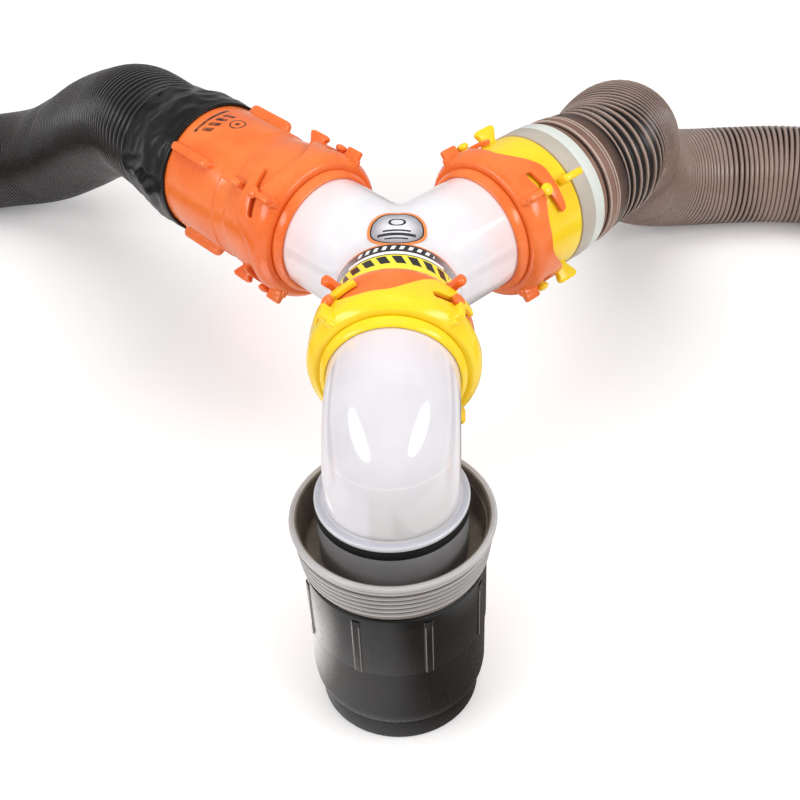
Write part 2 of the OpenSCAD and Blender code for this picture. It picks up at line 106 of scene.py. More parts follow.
class Value:
    """A number in a material's node tree, with Python arithmetic on it."""

    def __init__(self, shade: "Shade", socket: bpy.types.NodeSocket) -> None:
        """Wraps the socket of a node in a material's tree."""
        self.shade = shade
        self.socket = socket

    def math(self, operation: str, *others: "Value | float") -> "Value":
        """Adds one Math node.

        Args:
            operation: The node's operation, such as "MULTIPLY".
            others: The values of its other sockets.

        Returns:
            The node's result.
        """
        inputs = dict(enumerate((self, *others)))
        node = self.shade.node("ShaderNodeMath", {"operation": operation}, inputs)
        return Value(self.shade, node.outputs[0])

    def __add__(self, other: "Value | float") -> "Value":
        """Adds."""
        return self.math("ADD", other)

    __radd__ = __add__

    def __mul__(self, other: "Value | float") -> "Value":
        """Multiplies."""
        return self.math("MULTIPLY", other)

    __rmul__ = __mul__

    def __sub__(self, other: "Value | float") -> "Value":
        """Subtracts."""
        return self.math("SUBTRACT", other)

    def __rsub__(self, other: float) -> "Value":
        """Subtracts this from a number."""
        return (self * -1.0) + other

    def __truediv__(self, other: "Value | float") -> "Value":
        """Divides."""
        return self.math("DIVIDE", other)

    def __pow__(self, other: "Value | float") -> "Value":
        """Raises to a power."""
        return self.math("POWER", other)

    def __abs__(self) -> "Value":
        """The size without the sign."""
        return self.math("ABSOLUTE")

    def less(self, other: "Value | float") -> "Value":
        """One where this is less than the other, and zero elsewhere."""
        return self.math("LESS_THAN", other)

    def most(self, other: "Value | float") -> "Value":
        """The greater of the two."""
        return self.math("MAXIMUM", other)

    def hypot(self, other: "Value") -> "Value":
        """The length of the slant whose two legs these are."""
        return (self * self + other * other) ** 0.5

    def ramp(self, low: float, high: float) -> "Value":
        """A soft ramp from 0 at low to 1 at high.

        Args:
            low: The value that gives 0. It may be above high, for a falling ramp.
            high: The value that gives 1.

        Returns:
            The ramp's value.
        """
        ends = {0: self, 1: min(low, high), 2: max(low, high)}
        node = self.shade.node("ShaderNodeMapRange", {"interpolation_type": "SMOOTHSTEP"}, ends)
        rise = Value(self.shade, node.outputs[0])
        return rise if low < high else 1 - rise


class Shade:
    """A material's node tree, and the one way to add a node to it."""

    def __init__(self, holder: bpy.types.Material | bpy.types.World) -> None:
        """Empties a holder's node tree and takes it over.

        Args:
            holder: The material or the world whose tree it is.
        """
        self.holder = holder
        holder.use_nodes = True
        self.tree = holder.node_tree
        self.tree.nodes.clear()

    @classmethod
    def called(cls, name: str) -> "Shade":
        """A new material's tree."""
        return cls(bpy.data.materials.new(name))

    def node(
        self,
        kind: str,
        settings: dict[str, object] | None = None,
        inputs: dict[int | str, object] | None = None,
    ) -> bpy.types.Node:
        """Adds a node.

        Args:
            kind: The node's type.
            settings: Its own settings, which are set first.
            inputs: A value, a Value or a socket for each input, by name or number.

        Returns:
            The new node.
        """
        made = self.tree.nodes.new(kind)
        for key, setting in (settings or {}).items():
            setattr(made, key, setting)
        for key, given in (inputs or {}).items():
            source = given.socket if isinstance(given, Value) else given
            if isinstance(source, bpy.types.NodeSocket):
                self.tree.links.new(source, made.inputs[key])
            else:
                made.inputs[key].default_value = source
        return made

    def place(self) -> bpy.types.NodeSocket:
        """The point being shaded, in the object's own frame, in metres."""
        return self.node("ShaderNodeTexCoord").outputs["Object"]

    def parts(self, vector: bpy.types.NodeSocket) -> tuple[Value, Value, Value]:
        """A vector's three numbers."""
        split = self.node("ShaderNodeSeparateXYZ", None, {0: vector})
        return tuple(Value(self, split.outputs[i]) for i in range(3))

    def millimetres(self) -> tuple[Value, Value, Value]:
        """The point being shaded, in the object's own frame, in millimetres."""
        return tuple(part * (1 / MM) for part in self.parts(self.place()))

    def about_axis(self, origin: Point, turn: float) -> tuple[Value, Value, Value]:
        """Where the point being shaded lies about a level axis, in millimetres.

        Args:
            origin: A point on the axis.
            turn: The axis's angle from +Y, in degrees, positive towards -X.

        Returns:
            How far it is along the axis, across it and above it.
        """
        x, y, z = (part - start for part, start in zip(self.millimetres(), origin))
        cos, sin = math.cos(math.radians(turn)), math.sin(math.radians(turn))
        return y * cos - x * sin, x * cos + y * sin, z

    def attribute(self, name: str) -> Value:
        """A number that the piece's own mesh holds."""
        return Value(self, self.node("ShaderNodeAttribute", {"attribute_name": name}).outputs["Fac"])

    def distance(self, point: Point) -> Value:
        """The distance of the shaded point from a point of the frame, in metres."""
        node = self.node("ShaderNodeVectorMath", {"operation": "DISTANCE"}, {0: self.place(), 1: point})
        return Value(self, node.outputs["Value"])

    def noise(self, scale: float, detail: float = 3.0, stretch: Point = (1, 1, 1)) -> Value:
        """A cloudy pattern.

        Args:
            scale: How many clouds there are in a metre.
            detail: How much finer structure each holds.
            stretch: How much closer the clouds lie along each axis.

        Returns:
            A number around a half.
        """
        mapping = self.node("ShaderNodeMapping", None, {"Vector": self.place(), "Scale": stretch})
        inputs = {"Vector": mapping.outputs[0], "Scale": scale, "Detail": detail}
        return Value(self, self.node("ShaderNodeTexNoise", None, inputs).outputs[0])

    def mix(self, share: Value | float, first: object, second: object) -> bpy.types.NodeSocket:
        """A colour between two, each a colour or a socket: the first at a share of 0."""
        node = self.node("ShaderNodeMix", {"data_type": "RGBA"}, {0: share, 6: first, 7: second})
        return node.outputs[2]

    def bump(self, height: Value, depth: float) -> bpy.types.NodeSocket:
        """A surface's normal after a height pattern of a given depth in metres."""
        return self.node("ShaderNodeBump", None, {"Height": height, "Distance": depth}).outputs[0]

    def surface(self, inputs: dict[int | str, object]) -> bpy.types.Material:
        """Ends the tree with one Principled surface.

        Args:
            inputs: The values and links of the surface's sockets.

        Returns:
            The finished material.
        """
        shader = self.node("ShaderNodeBsdfPrincipled", None, inputs)
        self.node("ShaderNodeOutputMaterial", None, {0: shader.outputs[0]})
        return self.holder


# ---------------- finishes


@dataclass(frozen=True)
class MouldedPlastic:
    """A glossy moulded plastic."""

    name: str
    lit: str
    deep: str
    roughness: float = 0.28
    cloud: float = 26.0
    grain: float = 0.00006
    shine: float = 0.5

    def material(self) -> bpy.types.Material:
        """Colour clouds, a faint flow of the melt, fine grain and handling marks.

        Returns:
            The finished material.
        """
        shade = Shade.called(self.name)
        clouds = shade.noise(self.cloud, 4.0)
        flow = shade.noise(90.0, 2.0, (1.0, 1.0, 0.25))
        marks = shade.noise(420.0, 5.0)
        share = clouds.ramp(0.35, 0.68) * 0.7 + flow.ramp(0.3, 0.7) * 0.3
        colour = self.marked(shade, shade.mix(share, linear(self.lit), linear(self.deep)))
        rough = clouds * 0.10 + marks.ramp(0.52, 0.75) * 0.14 + (self.roughness - 0.05)
        height = marks * 0.5 + flow * 0.5
        return shade.surface({
            "Base Color": colour,
            "Roughness": rough,
            "Normal": shade.bump(height, self.grain),
            "IOR": 1.49,
            "Specular IOR Level": self.shine,
        })

    def marked(self, shade: Shade, colour: bpy.types.NodeSocket) -> bpy.types.NodeSocket:
        """The colour with whatever is printed on it, which is nothing here."""
        return colour


@dataclass(frozen=True)
class PrintedSleeve(MouldedPlastic):
    """A moulded sleeve that lies along an axis, with a plain generic print round its top."""

    origin: Point = (0.0, 0.0, 0.0)
    turn: float = 0.0
    radius: float = 45.4
    bar_s: float = 109.5
    block_s: float = 102.0
    ring_s: float = 89.5
    ring_r: float = 5.2
    dot_r: float = 1.7
    ink: str = "1d1512"

    def marked(self, shade: Shade, colour: bpy.types.NodeSocket) -> bpy.types.NodeSocket:
        """Prints a bar, a row of slanted blocks and a ring, a little rubbed, in millimetres.

        Args:
            shade: The material's tree.
            colour: The plastic's own colour.

        Returns:
            The colour with the print on it.
        """
        along, across, above = shade.about_axis(self.origin, self.turn)
        arc = across.math("ARCTAN2", above) * self.radius
        bar = abs(along - self.bar_s).less(1.2) * abs(arc + 6.0).less(15.0)
        slant = (arc + along * 0.45).math("PINGPONG", 3.1)
        blocks = slant.less(1.8) * abs(along - self.block_s).less(3.8) * abs(arc + 5.0).less(12.5)
        out = (along - self.ring_s).hypot(arc - 1.0)
        ring = abs(out - self.ring_r).less(0.55).most(out.less(self.dot_r))
        rubbed = shade.noise(300.0, 4.0).ramp(0.62, 0.45) * 0.3 + 0.65
        return shade.mix(bar.most(blocks).most(ring) * rubbed, colour, linear(self.ink))


@dataclass(frozen=True)
class MilkyPlastic:
    """A milky clear plastic, with a painted glow where a coloured fitting's light shines into it."""

    name: str
    milk: tuple[str, str]
    glow: str
    painted_glow_points: tuple[tuple[Point, float, float], ...]
    lip: tuple[float, float] | None = None
    roughness: float = 0.15

    def material(self) -> bpy.types.Material:
        """Milk, faint haze, and a painted glow next to the coloured rings.

        Returns:
            The finished material.
        """
        shade = Shade.called(self.name)
        haze = shade.noise(38.0, 3.0)
        fine = shade.noise(600.0, 3.0)
        colour = shade.mix(haze.ramp(0.3, 0.7), linear(self.milk[0]), linear(self.milk[1]))
        if self.lip:
            colour = self._stem(shade, colour)
        # Painted light: the coloured rings' glow tints the milk near them.
        for point, start, end in self.painted_glow_points:
            near = shade.distance(point).ramp(end, start)
            colour = shade.mix(near * (0.75 + haze * 0.4), colour, linear(self.glow))
        return shade.surface({
            "Base Color": colour,
            "Roughness": haze * 0.06 + fine.ramp(0.55, 0.8) * 0.06 + (self.roughness - 0.03),
            "Normal": shade.bump(haze * 0.4 + fine * 0.12, 0.00006),
            "Subsurface Weight": 0.35,
            "Subsurface Radius": (1.0, 0.92, 0.86),
            "Subsurface Scale": 0.01,
            "IOR": 1.5,
            "Coat Weight": 0.6,
            "Coat Roughness": 0.07,
        })

    def _stem(self, shade: Shade, colour: bpy.types.NodeSocket) -> bpy.types.NodeSocket:
        """Paints shade on the elbow's lower part, which has the dark sleeve behind it, and on the clear lip
        round it, with painted light on its left side and flanks, a faint pale line and a painted highlight
        on the lip's rim.

        Args:
            shade: The material's tree.
            colour: The plastic's own colour.

        Returns:
            The colour with the painted light and shade on the stem and the lip.
        """
        x, y, z = shade.millimetres()
        top, edge = self.lip
        out = x.hypot(y)
        # Painted shade, darker towards the bottom, lifted by painted light on the left side and at both
        # flanks.
        low = z.ramp(top + 44.0, top + 6.0)
        painted_side_light = x.ramp(-8.0, -13.0) * z.ramp(top + 44.0, top + 24.0)
        flank = abs(x).ramp(31.0, 37.0)
        colour = shade.mix(low * (1 - painted_side_light * 0.85) * (1 - flank * 0.7), colour, linear("cfcaca"))
        line = 1 - abs(z - (top + 30.0)).ramp(0.3, 0.9)
        colour = shade.mix(line * 0.3, colour, linear("f4efee"))
        # Painted shade on the clear lip.
        painted_lip_shade = z.less(top + 0.9) * out.ramp(38.6, 39.4)
        colour = shade.mix(painted_lip_shade, colour, linear("b9b9c2"))
        # Painted highlight along the lip's rim.
        rim = out.ramp(edge - 1.0, edge - 0.3) * z.less(top + 0.9)
        return shade.mix(rim * 0.5, colour, linear("dddbde"))


@dataclass(frozen=True)
class CupPlastic:
    """The grey plastic of a cup, whose inside is darker."""

    name: str
    face: str
    inside_tone: str
    floor_z: float
    thread_z: float
    thread_root: float
    floor_r: float = 51.5
    flare: float = 0.14
    thread_flare: float = 0.154
    thread_top: float = 136.0
    line_z: float = 138.6
    line_r: float = 56.0

    def material(self) -> bpy.types.Material:
        """Pale outside, with painted shade in the thread's grooves and in the groove under the rim, dark and
        streaked inside, with scuffs and fine grain.

        Returns:
            The finished material.
        """
        shade = Shade.called(self.name)
        x, y, z = shade.millimetres()
        clouds = shade.noise(26.0, 4.0)
        marks = shade.noise(420.0, 5.0)
        streaks = shade.noise(120.0, 3.0, (1.0, 1.0, 0.2))
        out = x.hypot(y)
        wall = (z - self.floor_z) * self.flare + self.floor_r
        inside = (out - wall).less(0.0) * (self.floor_z - z).less(0.5)
        pale = shade.mix(clouds.ramp(0.35, 0.68), linear(self.face), linear("aeabab"))
        root = (z - self.thread_z) * self.thread_flare + self.thread_root
        # Painted shade in the thread's grooves and in the groove under the rim.
        grooves = (out - root).ramp(0.9, 0.2) * z.less(self.thread_top)
        lines = (1 - abs(z - self.line_z).ramp(0.2, 0.6)) * (out - self.line_r).ramp(0.0, 0.4)
        pale = shade.mix((grooves * 0.85).most(lines * 0.8), pale, linear("6f645c"))
        dark = shade.mix(streaks.ramp(0.35, 0.7) * 0.5, linear(self.inside_tone), linear("5c544c"))
        return shade.surface({
            "Base Color": shade.mix(inside, pale, dark),
            "Roughness": clouds * 0.10 + marks.ramp(0.52, 0.75) * 0.14 + 0.36,
            "Normal": shade.bump(marks * 0.5 + streaks * 0.5, 0.00006),
            "IOR": 1.49,
        })


@dataclass(frozen=True)
class RibbedBlack:
    """The glossy black plastic of a ribbed inlet, with painted highlights on its ribs' edges, and scratched.
    """

    name: str
    face: str
    highlight_and_wear: str
    rib_r: float
    rib_half: float
    rib_z: tuple[float, float]
    step_z: float
    top_z: float

    def material(self) -> bpy.types.Material:
        """Black with thin painted highlight lines on each rib's edges, a few scratches, painted shade in a
        line at the step and a painted shadow in a band at the top, under the adapter.

        Returns:
            The finished material.
        """
        shade = Shade.called(self.name)
        x, y, z = shade.millimetres()
        clouds = shade.noise(24.0, 4.0)
        marks = shade.noise(420.0, 5.0)
        scratch = shade.noise(60.0, 2.0, (1.0, 1.0, 0.35))
        out = x.hypot(y)
        half_turn = math.pi / 8
        turn = (y.math("ARCTAN2", x) + math.pi).math("PINGPONG", half_turn)
        beside = abs((half_turn - turn) * self.rib_r - self.rib_half)
        low, high = self.rib_z
        # Painted highlight along both edges of each rib.
        edge = beside.ramp(0.5, 0.12) * out.ramp(self.rib_r - 0.5, self.rib_r - 0.2)
        ends = z.ramp(low - 0.2, low + 0.8) * z.ramp(high + 0.2, high - 0.8)
        line = abs(scratch - 0.5).ramp(0.003, 0.001) * clouds.ramp(0.52, 0.66)
        # Painted highlights on the ribs' edges, with real scratches and specks.
        highlight_and_wear = (edge * ends * 0.75).most(line * 0.12).most(marks.ramp(0.74, 0.82) * 0.3)
        colour = shade.mix(clouds.ramp(0.35, 0.7) * 0.6, linear(self.face), linear("0b0a09"))
        colour = shade.mix(highlight_and_wear, colour, linear(self.highlight_and_wear))
        # Painted shade in a line at the step, and a painted shadow band at the top under the adapter.
        dark = abs(z - self.step_z).ramp(0.6, 0.25).most(z.ramp(self.top_z - 9.4, self.top_z - 7.4))
        return shade.surface({
            "Base Color": shade.mix(dark * 0.9, colour, linear("040404")),
            "Roughness": clouds * 0.08 + marks.ramp(0.52, 0.75) * 0.12 + highlight_and_wear * 0.15 + 0.22,
            "Normal": shade.bump(marks * 0.6 + clouds * 0.4, 0.00005),
            "IOR": 1.49,
            "Specular IOR Level": 0.45,
        })


@dataclass(frozen=True)
class Rubber:
    """A soft rubber or vinyl skin with a dusty sheen in its folds."""

    name: str
    face: str
    fold: str
    dust: str
    roughness: float = 0.5

    def material(self) -> bpy.types.Material:
        """Mottled skin, pale dust in specks and fine creases.

        Returns:
            The finished material.
        """
        shade = Shade.called(self.name)
        mottle = shade.noise(34.0, 5.0)
        specks = shade.noise(700.0, 2.0)
        crease = shade.noise(160.0, 4.0)
        colour = shade.mix(mottle.ramp(0.32, 0.66), linear(self.fold), linear(self.face))
        colour = shade.mix(specks.ramp(0.62, 0.82) * 0.45, colour, linear(self.dust))
        return shade.surface({
            "Base Color": self.marked(shade, colour),
            "Roughness": mottle * 0.22 + specks * 0.1 + (self.roughness - 0.16),
            "Normal": shade.bump(crease * 0.6 + specks * 0.4, 0.00018),
            "Specular IOR Level": 0.3,
            "Sheen Weight": 0.01,
            "Sheen Roughness": 0.4,
        })

    def marked(self, shade: Shade, colour: bpy.types.NodeSocket) -> bpy.types.NodeSocket:
        """The colour with the painted shade and highlights of the piece's own shape, which is nothing here.
        """
        return colour


@dataclass(frozen=True)
class RidgedRubber(Rubber):
    """Rubber in ridges about an axis, with painted shade in the grooves and painted highlight lines along
    the crests.
    """

    origin: Point = (0.0, 0.0, 0.0)
    turn: float = 0.0
    groove_r: float = 42.7
    plain_r: float = 43.7
    crests: tuple[float, ...] = ()
    reach_r: float = 47.0
    shadow: str = "150c09"
    highlight_and_wear: str = "d9c8bd"

    def marked(self, shade: Shade, colour: bpy.types.NodeSocket) -> bpy.types.NodeSocket:
        """Paints shade by the distance from the axis and a thin highlight line along each crest.

        Args:
            shade: The material's tree.
            colour: The rubber's own colour.

        Returns:
            The colour with the painted shade and highlights on it.
        """
        along, across, above = shade.about_axis(self.origin, self.turn)
        out = across.hypot(above)
        # Painted shade in the grooves.
        colour = shade.mix(out.ramp(self.plain_r, self.groove_r) * 0.92, colour, linear(self.shadow))
        # Painted highlight line along each crest.
        for station in self.crests:
            line = abs(along - station).ramp(0.65, 0.3) * out.less(self.reach_r)
            colour = shade.mix(line * 0.6, colour, linear(self.highlight_and_wear))
        return colour


@dataclass(frozen=True)
class HoseSkin:
    """The vinyl of a ribbed hose, with painted highlights on the ribs and painted shade in the grooves."""

    name: str
    crest: str
    flank: str
    groove: str
    highlight_and_wear: str
    roughness: float = 0.36

    def material(self) -> bpy.types.Material:
        """Follows the mesh's own "groove" attribute, 0 on a rib and 1 in a groove, for painted highlights on
        the ribs and painted shade in the grooves.

        Returns:
            The finished material.
        """
        shade = Shade.called(self.name)
        deep = shade.attribute("groove")
        mottle = shade.noise(30.0, 5.0)
        streak = shade.noise(260.0, 3.0)
        colour = shade.mix(mottle.ramp(0.3, 0.7), linear(self.flank), linear(self.crest))
        # Painted highlight along each rib's top.
        colour = shade.mix(deep.ramp(0.06, 0.0) * 0.4, colour, linear(self.highlight_and_wear))
        # Painted shade in the grooves.
        colour = shade.mix(deep.ramp(0.08, 0.45), colour, linear(self.groove))
        return shade.surface({
            "Base Color": colour,
            "Roughness": mottle * 0.16 + streak * 0.12 + deep * 0.2 + (self.roughness - 0.14),
            "Normal": shade.bump(streak * 0.5 + mottle * 0.5, 0.0001),
            "Specular IOR Level": 0.35,
            "Coat Weight": 0.08,
            "Coat Roughness": 0.2,
        })


@dataclass(frozen=True)
class LabelFilm:
    """A printed film with a generic design: a silver disc over a striped band."""

    name: str
    disc_y: float
    disc_r: float
    band_top: float
    leg_r: float
    axis_z: float
    block_y: float = 117.4
    yellow_top: float = 122.2
    line_y: float = 124.4
    tick_y: float = 129.6
    border: str = "f08a45"

    def material(self) -> bpy.types.Material:
        """Draws the disc and the band from the point's own place, all in millimetres.

        Returns:
            The finished material.
        """
        shade = Shade.called(self.name)
        x, y, z = shade.millimetres()
        round_leg = x.math("ARCTAN2", z - self.axis_z) * self.leg_r
        colour = self._band(shade, round_leg, y)
        disc = self._disc(shade, x, y, x.hypot(y - self.disc_y))
        colour = shade.mix(1 - y.less(self.band_top), colour, disc)
        wear = shade.noise(240.0, 4.0)
        return shade.surface({
            "Base Color": colour,
            "Roughness": wear * 0.2 + 0.16,
            "Normal": shade.bump(wear, 0.00003),
            "Coat Weight": 0.5,
            "Coat Roughness": 0.12,
        })

    def _disc(self, shade: Shade, x: Value, y: Value, out: Value) -> bpy.types.NodeSocket:
        """A brushed silver disc in a black line and an orange border, with a ring and three bars.

        Args:
            shade: The material's tree.
            y: Its place along the leg.
            out: Its distance from the disc's middle.

        Returns:
            The colour of the disc's part of the film.
        """
        cloud = shade.noise(90.0, 3.0, (1.0, 2.0, 1.0))
        silver = shade.mix((out / self.disc_r).ramp(0.3, 0.95), linear("e9e7ec"), linear("86838a"))
        silver = shade.mix(cloud.ramp(0.4, 0.7) * 0.35, silver, linear("b9b6bd"))
        up = y - (self.disc_y + 6.5)
        ink = abs((x * x + up * up * 2.0) ** 0.5 - 4.6).less(0.8)
        for drop, reach, half in ((2.2, 8.5, 0.9), (6.2, 11.5, 1.5), (10.6, 7.0, 0.8)):
            bar = abs(y - (self.disc_y - drop)).less(half) * abs(x).less(reach)
            ink = ink.most(bar)
        face = shade.mix(ink, silver, linear("1c1a1c"))
        face = shade.mix(1 - out.less(self.disc_r - 2.6), face, linear("141214"))
        return shade.mix(1 - out.less(self.disc_r - 1.7), face, linear(self.border))

    def _band(self, shade: Shade, turn: Value, y: Value) -> bpy.types.NodeSocket:
        """From its lower edge: slanted blocks on yellow, then white and black lines with ticks.

        Args:
            shade: The material's tree.
            turn: The point's way round the leg.
            y: Its place along the leg.

        Returns:
            The colour of the band's part of the film.
        """
        slant = turn + y * 0.45
        block = slant.math("PINGPONG", 4.6).less(2.9)
        rows = abs(y - self.block_y).less(3.7) * abs(turn).less(36.0)
        yellow = shade.mix(block * rows, linear("fbe63c"), linear("171512"))
        ends = abs(turn).ramp(16.0, 40.0)
        dark = shade.mix(ends, linear("1a181a"), linear("8f8c90"))
        tick = (turn - y * 0.35).math("PINGPONG", 2.6).less(1.25)
        ticks = tick * abs(y - self.tick_y).less(1.7) * abs(turn).less(24.0)
        dark = shade.mix(ticks, dark, linear("f6f5f7"))
        colour = shade.mix(1 - y.less(self.yellow_top), yellow, dark)
        strip = abs(y - self.line_y).less(1.3) * abs(turn).less(31.0)
        colour = shade.mix(strip, colour, linear("f8f7f9"))
        return shade.mix(1 - y.less(self.band_top - 0.7), colour, linear(self.border))


# ---------------- shaping tools


class Mould:
    """A mesh being shaped, in millimetres, in the frame of what carries it."""

    def __init__(self) -> None:
        """Starts with nothing in the mould."""
        self.bm = bmesh.new()

    def absorb(self, part: bmesh.types.BMesh, place: Matrix | None = None) -> None:
        """Adds another bmesh to this one and frees it.

        Args:
            part: The bmesh to take in.
            place: Where its own frame lies in this mould.
        """
        if place is not None:
            bmesh.ops.transform(part, matrix=place, verts=part.verts)
        held = bpy.data.meshes.new("held")
        part.to_mesh(held)
        part.free()
        self.bm.from_mesh(held)
        bpy.data.meshes.remove(held)

    def lathe(
        self,
        corners: Sequence[Corner],
        closed: bool = True,
        steps: int = TURN_STEPS,
        place: Matrix | None = None,
    ) -> None:
        """Spins an outline about the local Z axis.

        Args:
            corners: Radius, station and, where the corner is rounded, how far its arc reaches.
            closed: Whether the last corner joins the first.
            steps: How many faces there are round the axis.
            place: Where the axis lies in this mould.
        """
        part = bmesh.new()
        verts = [part.verts.new((c[0], 0, c[1])) for c in corners]
        for first, second in zip(verts, verts[1:] + verts[:1]):
            if closed or second is not verts[0]:
                part.edges.new((first, second))
        rounded = [(vert, c[2]) for vert, c in zip(verts, corners) if len(c) > 2]
        for vert, reach in rounded:
            segments = 2 if reach < 1.0 else 4 if reach < 4.0 else 8
            bmesh.ops.bevel(
                part, geom=[vert], offset=reach, offset_type="OFFSET", segments=segments,
                profile=0.5, affect="VERTICES", material=-1,
            )
        bmesh.ops.spin(
            part, geom=part.verts[:] + part.edges[:], cent=(0, 0, 0), axis=(0, 0, 1),
            dvec=(0, 0, 0), angle=math.tau, steps=steps, use_merge=True,
        )
        self.absorb(part, place)

    def loft(
        self,
        length: float,
        thickness: float,
        steps: Sequence[Corner],
        place: Matrix,
        corner: float = 0.48,
    ) -> None:
        """Raises a post with a rounded oblong section, which changes size as it rises.

        Args:
            length: The section's length, along local X.
            thickness: Its thickness, along local Y.
            steps: The height of each section, how much longer and thicker it is, and, where it
                isn't over the foot's middle, how far it is moved along local X.
            place: Where the post's foot and its upward Z axis lie.
            corner: The corners' radius, as a share of the thickness.
        """
        part = bmesh.new()
        bmesh.ops.create_grid(part, x_segments=1, y_segments=1, size=0.5)
        bmesh.ops.scale(part, vec=(length, thickness, 1), verts=part.verts)
        bmesh.ops.delete(part, geom=part.faces[:], context="FACES_ONLY")
        bmesh.ops.bevel(
            part, geom=part.verts[:], offset=corner * thickness, offset_type="OFFSET", segments=4,
            profile=0.5, affect="VERTICES", material=-1,
        )
        level = part.verts[:]
        home = [v.co.copy() for v in level]
        edges = part.edges[:]
        for i, step in enumerate(steps):
            if i > 0:
                rise = bmesh.ops.extrude_edge_only(part, edges=edges)["geom"]
                fresh = {g for g in rise if isinstance(g, bmesh.types.BMVert)}
                edges = [g for g in rise if isinstance(g, bmesh.types.BMEdge) and fresh.issuperset(g.verts)]
                level = [self._above(vert, fresh) for vert in level]
            height, longer, thicker, *moved = step
            for vert, rest in zip(level, home):
                x = rest.x * (1 + longer / length) + sum(moved)
                vert.co = Vector((x, rest.y * (1 + thicker / thickness), height))
        bmesh.ops.holes_fill(part, edges=part.edges[:], sides=0)
        bmesh.ops.recalc_face_normals(part, faces=part.faces[:])
        self.absorb(part, place)

    @staticmethod
    def _above(vert: bmesh.types.BMVert, fresh: set[bmesh.types.BMVert]) -> bmesh.types.BMVert:
        """The new vertex that was drawn out of an old one."""
        return next(e.other_vert(vert) for e in vert.link_edges if e.other_vert(vert) in fresh)

    def solid_normals(self) -> None:
        """Welds the seams and points the faces of every closed shell outwards."""
        bmesh.ops.remove_doubles(self.bm, verts=self.bm.verts, dist=WELD)
        bmesh.ops.recalc_face_normals(self.bm, faces=self.bm.faces)


def along_axis(origin: Sequence[float], turn: float) -> Matrix:
    """The frame at a coupling's rim: its axis is local +Z, turned from +Y to -X, and up is local -Y."""
    level = Matrix.Rotation(-math.pi / 2, 4, "X")
    return Matrix.Translation(origin) @ Matrix.Rotation(math.radians(turn), 4, "Z") @ level


def out_at(angle: float, station: float) -> Matrix:
    """The frame at a station, at degrees round from the top: X along the pipe, Y round it and Z out."""
    lying = Matrix(((0, 0, 1, 0), (0, -1, 0, 0), (1, 0, 0, station), (0, 0, 0, 1)))
    return Matrix.Rotation(math.radians(angle - 90), 4, "Z") @ lying


# ---------------- putting pieces down


@dataclass
class Kit:
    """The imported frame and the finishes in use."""

    frame: dict[str, object]
    finishes: dict[str, bpy.types.Material]

    def slot_of(self, node: str) -> str:
        """The material slot that the record gives a node."""
        parts = self.frame["record"]["subparts"]
        return next(part["material_slot"] for part in parts if part["node"] == node)

    def set_down(
        self,
        mould: Mould,
        node: str,
        place: Matrix,
        finish: str | None = None,
        sharp: bool = True,
        also: Sequence[str] = (),
    ) -> bpy.types.Object:
        """Turns a mould into the finished piece that stands for a node.

        Args:
            mould: The shaped mesh. It is used up.
            node: The node that the piece replaces.
            finish: The finish's name, where it isn't the node's own slot.
            sharp: Whether its edges past a set angle stay crisp.
            also: Other nodes that the same piece replaces.

        Returns:
            The new object, at the origin, with its place in its mesh.
        """
        mould.solid_normals()
        bmesh.ops.transform(mould.bm, matrix=Matrix.Scale(MM, 4) @ place, verts=mould.bm.verts)
        name = f"{node}_shell"
        mesh = bpy.data.meshes.new(name)
        mould.bm.to_mesh(mesh)
        mould.bm.free()
        mesh.shade_smooth()
        if sharp:
            mesh.set_sharp_from_angle(angle=SHARP_ANGLE)
        piece = bpy.data.objects.new(name, mesh)
        bpy.context.scene.collection.objects.link(piece)
        slot = self.slot_of(node)
        mesh.materials.append(self.finishes[finish or slot])
        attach(piece, self.frame["nodes"][node]["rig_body"])
        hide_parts(node, *also)
        LOG.info("%s: %d faces", name, len(mesh.polygons))
        return piece

    def dress(self, node: str) -> None:
        """Gives a node that keeps its own mesh its finish.

        Args:
            node: The node's name.
        """
        carried = self.frame["nodes"][node]
        carried.data.materials.clear()
        carried.data.materials.append(self.finishes[self.slot_of(node)])
        LOG.info("%s: dressed", node)


# ---------------- couplings


@dataclass(frozen=True)
class Coupling:
    pipe_r: float = 38.0
    bore_r: float = 35.0
    skirt_r: float = 50.0
    skirt_wall: float = 3.0
    flange_r: float = 46.2
    flange_back: float = 16.6
    flange_end: float = 19.4
    fitting_start: float = 21.9
    lug_s: float = 27.0
    stem_r: float = 2.2
    ball_r: float = 4.1
    ball_low: float = 50.12


